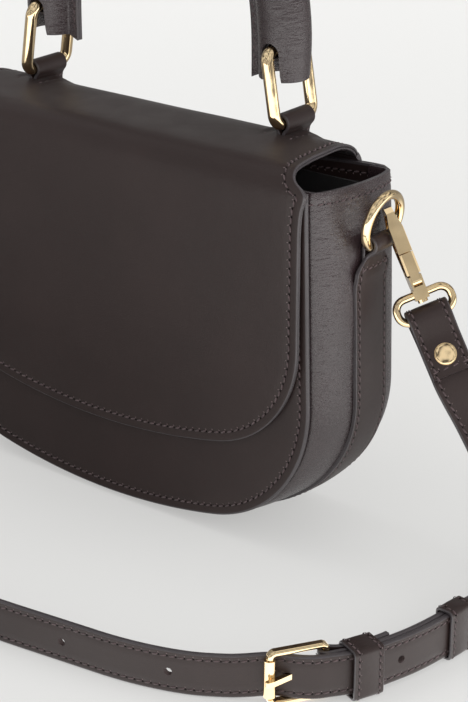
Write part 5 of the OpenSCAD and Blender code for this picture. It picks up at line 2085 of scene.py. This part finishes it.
    def strap(self, name: str, rows: list[list[float]], node: str,
              cutters: Sequence[Object]) -> tuple[Object, list[Row]]:
        """Makes one strap and its stitches.

        Args:
            name: the piece's name.
            rows: its raw rows.
            node: the node that it stands for.
            cutters: shapes that are cut out of it.

        Returns:
            The strap and its frames.
        """
        frames = rows_to_frames(smooth_rows(rows, 3))
        piece = ribbon(name, frames, self.finishes.cut_hide)
        cut_away(piece, cutters)
        finish_piece(piece, "root", "smooth_leather", node)
        seams, kept = [], frames[3:-6]
        for side in (-1, 1):
            for face in (-1, 1):
                places = [r.centre + r.across * side * max(0.5, r.half - StrapSection.seam_in)
                          + r.facing * face * (r.t / 2 - 0.1) for r in kept]
                seams.append(SeamLine(places, [r.facing * face for r in kept]))
        hook, side, down = Hook(), Side.RIGHT if "short" in name else Side.LEFT, 22.3
        cross = [side.of(hook.fold_point(down, self.t + 0.05) + hook.turned(X_AXIS * v))
                 for v in spread(-6.4, 6.4, 1.6)]
        seams.append(flat_seam(cross, side.of(hook.fold_point(down, 2.0) - hook.fold_point(down, 1.0))))
        finish_piece(self.stitcher.lay(name + "_stitches", seams, 3.4), "root", "smooth_leather")
        return piece, frames

    def build(self) -> None:
        short, short_frames = self.strap("strap_short_leather", self.short_rows(), "strap_short", self.cutters("short"))
        long, long_frames = self.strap("strap_long_leather", self.long_rows(), "strap_long", self.cutters("long"))
        on_short = ["strap_short_leather_stitches", "buckle_frame", "buckle_roller", "buckle_prong"]
        for piece, frames, far, others in ((short, short_frames, "fitting", on_short),
                                           (long, long_frames, "object", ["strap_long_leather_stitches"])):
            path = [tuple(r.centre * MM) for r in frames]
            length = sum((Vector(b) - Vector(a)).length for a, b in zip(path, path[1:]))
            LOG.info("%s is %.3f m long", piece.name, length)
            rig.cord(piece, exit=path[0], length=round(length, 3), diameter=self.width * MM, far_end=far,
                    stiffness="medium", lay="loose", path=path, with_pieces=others)


@dataclass
class Hook:
    """Place and turn of the right swivel hook, drawn upright with the ring's bar at its origin."""

    turn: tuple[float, float, float] = (-18.1, -20.2, 47.2)
    foot: float = 26.0
    eye_h: float = 9.8
    boss_h: float = 4.4
    play: float = 1.68
    up: float = 3.5
    lean: float = 11.0
    ring_r: float = 11.4
    bar_l: float = 13.0
    pivot: tuple[float, float, float] = (122.95534, 0.0, 138.0)
    fold_lean: float = 13.0

    @property
    def matrix(self) -> Matrix:
        """Turn of the hook."""
        x, y, z = (radians(a) for a in self.turn)
        return Matrix.Rotation(z, 3, "Z") @ Matrix.Rotation(y, 3, "Y") @ Matrix.Rotation(x, 3, "X")

    def turned(self, p: Vector) -> Vector:
        """A direction of the upright hook as it hangs."""
        return self.matrix @ p

    @property
    def at(self) -> Vector:
        """Where the hook's origin is.

        Returns:
            The place.
        """
        rise = sqrt(self.ring_r ** 2 - (self.bar_l / 2) ** 2)
        out = sqrt(self.ring_r ** 2 - (rise - self.up) ** 2)
        a = radians(self.lean)
        return (Vector(self.pivot) + Vector((self.up * sin(a), out, self.up * cos(a)))
                - self.turned(Vector((0, self.play, 0))))

    def fold_point(self, u: float, v: float) -> Vector:
        """Point of the folded strap end: u down from the eye's bar, v towards the front.

        Args:
            u: distance down from the eye's bar.
            v: distance towards the front.

        Returns:
            The point.
        """
        low = -self.foot - 0.05 - self.boss_h / 2 - self.eye_h
        p = Matrix.Rotation(radians(-self.fold_lean), 3, "X") @ Vector((0, -v, -u))
        return self.at + self.turned(Vector((0, 0, low)) + p)


# ---------------------------------------------------------------- wrapped strips, handle, keepers and rivets


def arc(centre: Point, r: float, start: float, stop: float, steps: int) -> list[Point]:
    """Points of an arc in degrees."""
    angles = [radians(start + (stop - start) * i / steps) for i in range(steps + 1)]
    return [(centre[0] + r * cos(a), centre[1] + r * sin(a)) for a in angles]


def even_line(points: Sequence[Point], step: float) -> list[Vector]:
    """Points at even steps along a line of points.

    Args:
        points: the line's points.
        step: usual distance between the new ones.

    Returns:
        Evenly spaced points.
    """
    line = [Vector(p) for p in points]
    lengths = run_lengths(line)
    made = []
    for d in spread(0.0, lengths[-1], step):
        k = next((i for i in range(len(line) - 1) if lengths[i + 1] >= d - 1e-9), len(line) - 2)
        f = (d - lengths[k]) / max(lengths[k + 1] - lengths[k], 1e-9)
        made.append(line[k].lerp(line[k + 1], f))
    return made


@dataclass
class Wrap:
    """A strip of leather bent along a flat path: the path, the axes of its plane, and its width direction."""

    path: Sequence[Point]
    origin: Vector
    x_axis: Vector
    y_axis: Vector
    across: Vector
    t: float
    half: float
    step: float = 0.8

    def __post_init__(self) -> None:
        """Evens out the path and finds its facings."""
        self.line = even_line(self.path, self.step)
        self.facing = facings_of(self.line)

    def place(self, u: float, v: float, h: float) -> Vector:
        """Point at a place along the path, a distance across and a height over the lower face.

        Args:
            u: step along the path.
            v: distance across.
            h: height over the lower face.

        Returns:
            The point.
        """
        last = len(self.line) - 1
        inside = clamp(u, float(last))
        i = min(int(inside), last - 1)
        p = self.line[i].lerp(self.line[i + 1], inside - i)
        f = self.facing[i].lerp(self.facing[i + 1], inside - i).normalized()
        q = p + f * (h - self.t / 2) + (self.line[i + 1] - self.line[i]).normalized() * (u - inside)
        return self.origin + self.x_axis * q.x + self.y_axis * q.y + self.across * v

    def sheet(self, name: str, materials: Materials, bend: Callable[[Vector], Vector] = Vector) -> Object:
        """Makes the strip.

        Args:
            name: the piece's name.
            materials: face and edge material.
            bend: changes a point once it is placed.

        Returns:
            The linked object.
        """
        ends = (-self.half + 2.0, self.half - 2.0, -self.half + 0.8, self.half - 0.8)
        return grid_sheet(name, [float(i) for i in range(len(self.line))], spread(-self.half, self.half, 1.6, ends),
                          lambda u, v, h: bend(self.place(u, v, h)), self.t, materials, None, self.t * 0.3)


def cut_away(piece: Object, cutters: Sequence[Object]) -> None:
    """Cuts shapes out of a piece and throws them away.

    Args:
        piece: the piece that is cut.
        cutters: closed shapes that are removed from it.
    """
    for cutter in cutters:
        tool = piece.modifiers.new("cut", "BOOLEAN")
        tool.operation, tool.solver, tool.object = "DIFFERENCE", "EXACT", cutter
    bpy.context.view_layer.update()
    result = bpy.data.meshes.new_from_object(piece.evaluated_get(bpy.context.evaluated_depsgraph_get()))
    piece.modifiers.clear()
    old, piece.data = piece.data, result
    bpy.data.meshes.remove(old)
    result.set_sharp_from_angle(angle=radians(50))
    for cutter in cutters:
        bpy.data.objects.remove(cutter)


def prism(name: str, outline: Sequence[Point], origin: Vector, x_axis: Vector, y_axis: Vector, along: Vector,
          low: float, high: float, materials: Materials, zone: Zone) -> Object:
    """Makes a straight prism over a flat outline, for cutting.

    Args:
        name: the object's name.
        outline: its corners.
        origin: origin of the outline's plane.
        x_axis: first axis of the plane.
        y_axis: second axis of the plane.
        along: direction of the prism.
        low: start along that direction.
        high: end along that direction.
        materials: the materials that its cut faces may take.
        zone: which of them they take.

    Returns:
        The linked object.
    """
    n = len(outline)
    points = [origin + x_axis * x + y_axis * y + along * h for h in (low, high) for x, y in outline]
    faces = ([tuple(range(n - 1, -1, -1)), tuple(range(n, 2 * n))]
             + [(i, (i + 1) % n, n + (i + 1) % n, n + i) for i in range(n)])
    return closed_piece(name, points, faces, materials, [zone] * len(faces), 30.0)


@dataclass
class Handle:
    """Padded top handle: its cover with a sewn seam on the inside of the arch, and the loops on its rings."""

    finishes: Finishes
    stitcher: Stitcher
    half: float = 64.348
    y: float = 15.5
    low: float = 196.29
    ring_top: float = 204.89
    rise: float = 78.0
    power: float = 2 / 2.7
    r: float = 11.0
    t: float = 1.6
    seam: float = 5.0
    bar_r: float = 2.6
    loop_w: float = 15.0
    reach: float = 4.0

    def middle(self, s: float) -> Vector:
        """Middle of the handle at a share of its arch, in X and Z.

        Args:
            s: share of the arch.

        Returns:
            X and Z.
        """
        a = pi * (1 - s)
        c, k = cos(a), max(0.0, sin(a))
        return Vector((copysign(abs(c) ** self.power, c) * self.half, self.low + self.rise * k ** self.power))

    def outward(self, s: float) -> Vector:
        """Outward direction of the arch."""
        d = self.middle(min(1.0, s + 0.002)) - self.middle(max(0.0, s - 0.002))
        return Vector((-d.y, d.x)).normalized()

    def shares(self) -> list[float]:
        """Shares of the arch at even distances along it.

        Returns:
            The shares.
        """
        fine = [i / 2000 for i in range(2001)]
        lengths = run_lengths([self.middle(s) for s in fine])
        made, k = [], 0
        for i in range(121):
            d = lengths[-1] * i / 120
            while k < 1999 and lengths[k + 1] < d:
                k += 1
            made.append(fine[k] + (fine[k + 1] - fine[k]) * (d - lengths[k]) / max(lengths[k + 1] - lengths[k], 1e-9))
        return made

    def section(self) -> list[Point]:
        """Middle line of the cover's leather, from one edge of the seam round to the other.

        Returns:
            Places out of the arch and across.
        """
        mid_r, gap, lip, start = self.r - self.t / 2, self.t / 2 + 0.06, self.r + 1.2, 157.0
        round_part = arc((0.0, 0.0), mid_r, 0.0, start, 22)
        p0, p3 = Vector(round_part[-1]), Vector((-lip, gap))
        d0 = Vector((-sin(radians(start)), cos(radians(start))))
        corners = (p0, p0 + d0 * 2.2, p3 + Vector((1.6, 0.0)), p3)
        half = round_part + [tuple(bezier(i / 6, corners)) for i in range(1, 7)]
        half += [(-lip - (self.seam - 1.2) * i / 5, gap) for i in range(1, 6)]
        return [(x, -y) for x, y in reversed(half[1:])] + half

    def cover(self) -> None:
        """Makes the cover and its stitches."""
        ring = [Vector(p) for p in self.section()]
        n, facing = len(ring), facings_of([Vector(p) for p in self.section()])
        shares = self.shares()
        count = len(shares) - 1

        def place(u: float, v: float, h: float) -> Vector:
            """Point of the cover: step along the arch, step round the section, height over the inner face.

            Args:
                u: step along the arch.
                v: step round the section.
                h: height over the inner face.

            Returns:
                The point.
            """
            uu, vv = clamp(u, float(count)), clamp(v, float(n - 1))
            i, j = min(int(uu), count - 1), min(int(vv), n - 2)
            s = shares[i] + (shares[i + 1] - shares[i]) * (uu - i)
            c, o = self.middle(s), self.outward(s)
            p = ring[j].lerp(ring[j + 1], vv - j)
            f = facing[j].lerp(facing[j + 1], vv - j).normalized()
            near = min(uu, count - uu)
            pinch = 0.075 * max(0.0, 1 - near / 7.0) ** 2
            soft = noise.noise(Vector((s * 9.0, p.x * 0.09, p.y * 0.09))) * 0.28
            crease = 0.16 * noise.noise(Vector((s * 110.0, p.x * 0.25, p.y * 0.12))) * max(0.0, 1 - near / 16.0)
            q = p + f * (h - self.t / 2 + min(0.0, soft - 0.1 + crease))
            q.y *= 1 - pinch
            if q.x > 0:
                q.x *= 1 - pinch
            if abs(p.x) > self.r:
                q.y = p.y + f.y * (h - self.t / 2)
            drop = 0.0
            if p.x < -self.r and near < 1.0:
                drop = -2.2 * (1 - near) * (-self.r - p.x) / self.seam
            reach = self.reach * max(0.0, 1 - near / 6.0) ** 1.5
            return Vector((c.x + q.x * o.x, self.y + q.y, c.y + q.x * o.y + drop - reach))

        us, vs = ([float(i) for i in range(size)] for size in (count + 1, n))
        padding = (self.finishes.crinkled, self.finishes.edge, self.finishes.raw)
        piece = grid_sheet("handle_cover_leather", us, vs, place, self.t, padding, None, 0.12)
        cutters, w = [], self.bar_r + 1.5
        outline = [(-w - 1.1, -8.0), (w + 1.1, -8.0), (w + 0.3, -1.0)] + arc((0.0, 12.0 - w), w, 0.0, 180.0, 12)
        outline.append((-w - 0.3, -1.0))
        for side in (-1, 1):
            cutters.append(prism(f"slot_{side}", outline, Vector((side * self.half, self.y, self.low)), X_AXIS, Z_AXIS,
                                 Y_AXIS, -14.0, 14.0, self.finishes.hide, Zone.EDGE))
        cut_away(piece, cutters)
        finish_piece(piece, "handle", "smooth_leather", "handle_cover")
        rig.padded(piece, fill=0.95)
        lines = []
        for sign, v in ((-1, 1.9), (1, n - 2.9)):
            places = [place(u, v, self.t - 0.12) for u in spread(1.2, count - 1.2, 1.0)]
            lines.append(flat_seam(places, Y_AXIS * sign))
        finish_piece(self.stitcher.lay("handle_stitches", lines, 3.4), "handle", "smooth_leather")

    def loops(self) -> None:
        """Makes the leather loops that carry the handle on its rings."""
        t = 1.4
        mid = self.bar_r + 0.6 + t / 2
        path = [(0.72, 12.4), (0.72, 6.2)] + arc((0.0, 0.0), mid, 55.0, -235.0, 26) + [(-0.72, 6.2), (-0.72, 12.4)]
        for side in Side:
            wrap = Wrap(path, Vector((side.value * self.half, self.y, self.ring_top)), X_AXIS, Z_AXIS, Y_AXIS, t,
                        self.loop_w / 2)
            piece = wrap.sheet(f"handle_loop_{side.word}_leather", self.finishes.hide)
            finish_piece(piece, "handle", "smooth_leather", f"handle_loop_{side.word}")

    def build(self) -> None:
        """Builds the handle."""
        self.cover()
        self.loops()


@dataclass
class Tabs:
    """The two tabs that come up through the flap and hold the handle's rings."""

    finishes: Finishes
    stitcher: Stitcher
    x: float = 69.3
    y: float = 15.5
    z: float = 175.3
    width: float = 18.5
    t: float = 1.4
    in_r: float = 2.85
    arc_y: float = 6.0
    arc_z: float = 138.0
    arc_r: float = 29.7

    def build(self) -> None:
        """Builds both tabs with their stitches."""
        foot = [(-0.74, -13.0), (-0.74, -6.0), (-1.15, -4.4)]
        path = foot + arc((0.0, 0.0), self.in_r + self.t / 2, 235.0, -55.0, 28) + [(-x, z) for x, z in reversed(foot)]
        lines = []

        def bend(p: Vector) -> Vector:
            """Ends the legs on the underside of the flap."""
            return Vector((p.x, p.y, max(p.z, self.arc_z + sqrt(self.arc_r ** 2 - (p.y - self.arc_y) ** 2))))

        for side in Side:
            wrap = Wrap(path, Vector((side.value * self.x, self.y, self.z)), X_AXIS, Z_AXIS, Y_AXIS, self.t,
                        self.width / 2)
            piece = wrap.sheet(f"tab_{side.word}_leather", self.finishes.hide, bend)
            finish_piece(piece, "flap", "smooth_leather", f"tab_{side.word}")
            for leg in (-1, 1):
                x = side.value * self.x + leg * (self.t + 0.04)
                places = [Vector((x, self.y + v, self.z - 5.6)) for v in spread(-7.6, 7.6, 1.5)]
                lines.append(flat_seam(places, X_AXIS * leg))
        finish_piece(self.stitcher.lay("tab_stitches", lines, 3.0), "flap", "smooth_leather")


@dataclass
class Keeper:
    """A band of leather round the strap's plies."""

    name: str
    body: str
    centre: tuple[float, float, float]
    turn: float
    depth: float
    height: float = 18.9
    t: float = 1.2
    length: float = 13.0
    corner: float = 2.0

    def build(self, finishes: Finishes, stitcher: Stitcher) -> None:
        """Makes the band and its two rows of stitches.

        Args:
            finishes: the finishes.
            stitcher: lays the stitches.
        """
        a = radians(self.turn)
        along, side = Vector((cos(a), sin(a), 0)), Vector((-sin(a), cos(a), 0))
        w, h, r = self.depth / 2 + self.t / 2, self.height / 2 + self.t / 2, self.corner - self.t / 2
        loop: list[Point] = []
        for cx, cz, start in ((w - r, h - r, 0), (-w + r, h - r, 90), (-w + r, -h + r, 180), (w - r, -h + r, 270)):
            loop += arc((cx, cz), r, start, start + 90, 8)
        dense: list[Point] = []
        for p, q in zip(loop, loop[1:] + loop[:1]):
            steps = max(1, int(dist(p, q) / 1.5))
            dense += [(p[0] + (q[0] - p[0]) * k / steps, p[1] + (q[1] - p[1]) * k / steps) for k in range(steps)]
        n = len(dense)
        around = zip(dense[-1:] + dense[:-1], dense[1:] + dense[:1])
        normals = [Vector((z1 - z0, x0 - x1)).normalized() for (x0, z0), (x1, z1) in around]
        centre, half, e, seam_in = Vector(self.centre), self.length / 2, 0.32, 2.0
        left = [(-half + e, 0.0), (-half, e), (-half, self.t - e), (-half + e, self.t),
                (-half + seam_in - 0.6, self.t + 0.02), (-half + seam_in, self.t - 0.2),
                (-half + seam_in + 0.6, self.t + 0.02)]
        section = left + [(0.0, self.t + 0.06)] + [(-d, g) for d, g in reversed(left)]
        m = len(section)

        def place(i: int, d: float, g: float) -> Vector:
            """Point of the band.

            Args:
                i: step round the band.
                d: distance along the strap.
                g: height over the inner face.

            Returns:
                The point.
            """
            x, z = dense[i % n]
            k = normals[i % n]
            wave = 0.12 * noise.noise(Vector((x * 0.2, z * 0.2, d * 0.15 + self.turn)))
            g = g - self.t / 2 + (wave if g > 0.5 else 0.0)
            return centre + side * (x + k.x * g) + Z_AXIS * max(z + k.y * g, 0.06 - self.centre[2]) + along * d

        points = [place(i, d, g) for i in range(n) for d, g in section]
        zones = [Zone.EDGE if j < 3 or m - 5 < j < m - 1 else Zone.FACE for j in range(m)] * n
        piece = closed_piece(f"{self.name}_leather", points, tube_faces(n, m, True), finishes.hide, zones, 40.0)
        finish_piece(piece, self.body, "smooth_leather", self.name)
        facings = [side * k.x + Z_AXIS * k.y for k in normals + normals[:1]]
        lines = [SeamLine([place(i, d, self.t - 0.12) for i in range(n + 1)], facings)
                 for d in (-half + seam_in, half - seam_in)]
        finish_piece(stitcher.lay(f"{self.name}_stitches", lines, 2.9), self.body, "smooth_leather")


@dataclass
class Rivets:
    """Domed strap rivets with a fine rim, and their flat washers behind."""

    finishes: Finishes
    r: float = 4.6
    dome: float = 1.15
    at: float = 16.8
    face: float = 2.5
    washer: float = 0.8
    turns: int = 64

    def build(self) -> None:
        """Builds both rivets in one piece."""
        hook = Hook()
        low, under, brim = 0.38, -2 * self.face, self.r * 0.9
        steps = [pi / 2 * i / 16 for i in range(1, 16)]
        profile = [(0.0, self.dome)]
        profile += [(self.r * 0.93 * sin(a), low + (self.dome - low) * cos(a) ** 0.5) for a in steps]
        profile += [(self.r * q, h) for q, h in ((0.935, 0.36), (0.95, 0.33), (0.975, 0.33), (0.995, 0.22), (1.0, 0.1))]
        profile += [(self.r, 0.0), (1.5, 0.0), (1.5, under), (brim, under), (brim, under - self.washer * 0.5),
                    (self.r * 0.82, under - self.washer * 0.9), (0.0, under - self.washer * 0.9)]
        turns = [2 * pi * i / self.turns for i in range(self.turns)]
        points: list[Vector] = []
        faces: list[Face] = []
        for side in Side:
            rings = []
            for q, h in profile:
                spots = [(q * cos(a), q * sin(a)) for a in turns] if q else [(0.0, 0.0)]
                rings.append(range(len(points), len(points) + len(spots)))
                points += [side.of(hook.fold_point(self.at - z, self.face + h) + hook.turned(X_AXIS * x))
                           for x, z in spots]
            for one, two in zip(rings, rings[1:]):
                for i in range(self.turns):
                    k = (i + 1) % self.turns
                    quad = (one[i % len(one)], one[k % len(one)], two[k % len(two)], two[i % len(two)])
                    quad = tuple(dict.fromkeys(quad))
                    faces.append(quad if side is Side.RIGHT else tuple(reversed(quad)))
        piece = closed_piece("strap_rivet_caps", points, faces, (self.finishes.gold,), None, 38.0)
        finish_piece(piece, "root", "gold_hardware", "strap_rivets")


# ---------------------------------------------------------------- carried-over metal parts


@dataclass
class Fittings:
    """The plated fittings, which keep the part's own solids and get a finish and softened edges."""

    finishes: Finishes
    nodes: dict[str, Object]
    plated: tuple[str, ...] = ("handle_ring_left", "handle_ring_right", "side_ring_left", "side_ring_right",
                               "hook_left", "hook_right", "hook_gate_left", "hook_gate_right", "strap_eye_left",
                               "strap_eye_right", "buckle_frame", "buckle_roller", "buckle_prong")
    hidden: tuple[str, ...] = ("front_board", "back_board", "handle_core")
    softened: tuple[str, ...] = ("hook", "buckle_prong", "strap_eye")
    soft: float = 0.18

    def dress(self, name: str, material: Material, bevel: float) -> None:
        """Gives a node its material and soft edges.

        Args:
            name: the node.
            material: its finish.
            bevel: width of its softened edges in millimetres, or 0.
        """
        piece = self.nodes[name]
        piece.data.materials.clear()
        piece.data.materials.append(material)
        piece.data.polygons.foreach_set("use_smooth", [True] * len(piece.data.polygons))
        piece.data.set_sharp_from_angle(angle=radians(32))
        if bevel:
            soft = piece.modifiers.new("soft_edges", "BEVEL")
            soft.width, soft.segments, soft.limit_method, soft.angle_limit = bevel * MM, 2, "ANGLE", radians(40)
            soft.harden_normals = False
        LOG.info("node %s dressed", name)

    def build(self) -> None:
        """Dresses every carried-over node."""
        for name in self.plated:
            self.dress(name, self.finishes.gold, self.soft if name.startswith(self.softened) else 0.0)
        for name in ("panel_magnet", "flap_magnet"):
            self.dress(name, self.finishes.steel, 0.0)
        for name in self.hidden:
            self.dress(name, self.finishes.board, 0.0)


def main() -> None:
    """Builds the studio and the bag in order."""
    logging.basicConfig(level=logging.INFO, format="%(message)s")
    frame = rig.load()
    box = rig.bounds()
    Studio().build()
    finishes = Finishes()
    stitcher = Stitcher(finishes)
    Straps(finishes, stitcher).build()
    shape = BodyShape()
    Body(shape, finishes, stitcher).build()
    Flap(shape, finishes, stitcher).build()
    Tabs(finishes, stitcher).build()
    Handle(finishes, stitcher).build()
    Keeper("keeper_fixed", "root", (*Straps(finishes, stitcher).buckle(24.4, -2.1)[:2], 10.75),
           67.0, 9.6).build(finishes, stitcher)
    Keeper("keeper_loose", "keeper_loose", (195.25, -48.8, 10.75), 83.5, 6.0).build(finishes, stitcher)
    Rivets(finishes).build()
    Fittings(finishes, frame["nodes"]).build()
    with open("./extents.json", "w") as file:
        json.dump({"cad": [list(c) for c in box], "visual": [list(c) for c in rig.bounds()]}, file)


if __name__ == "__main__":
    main()
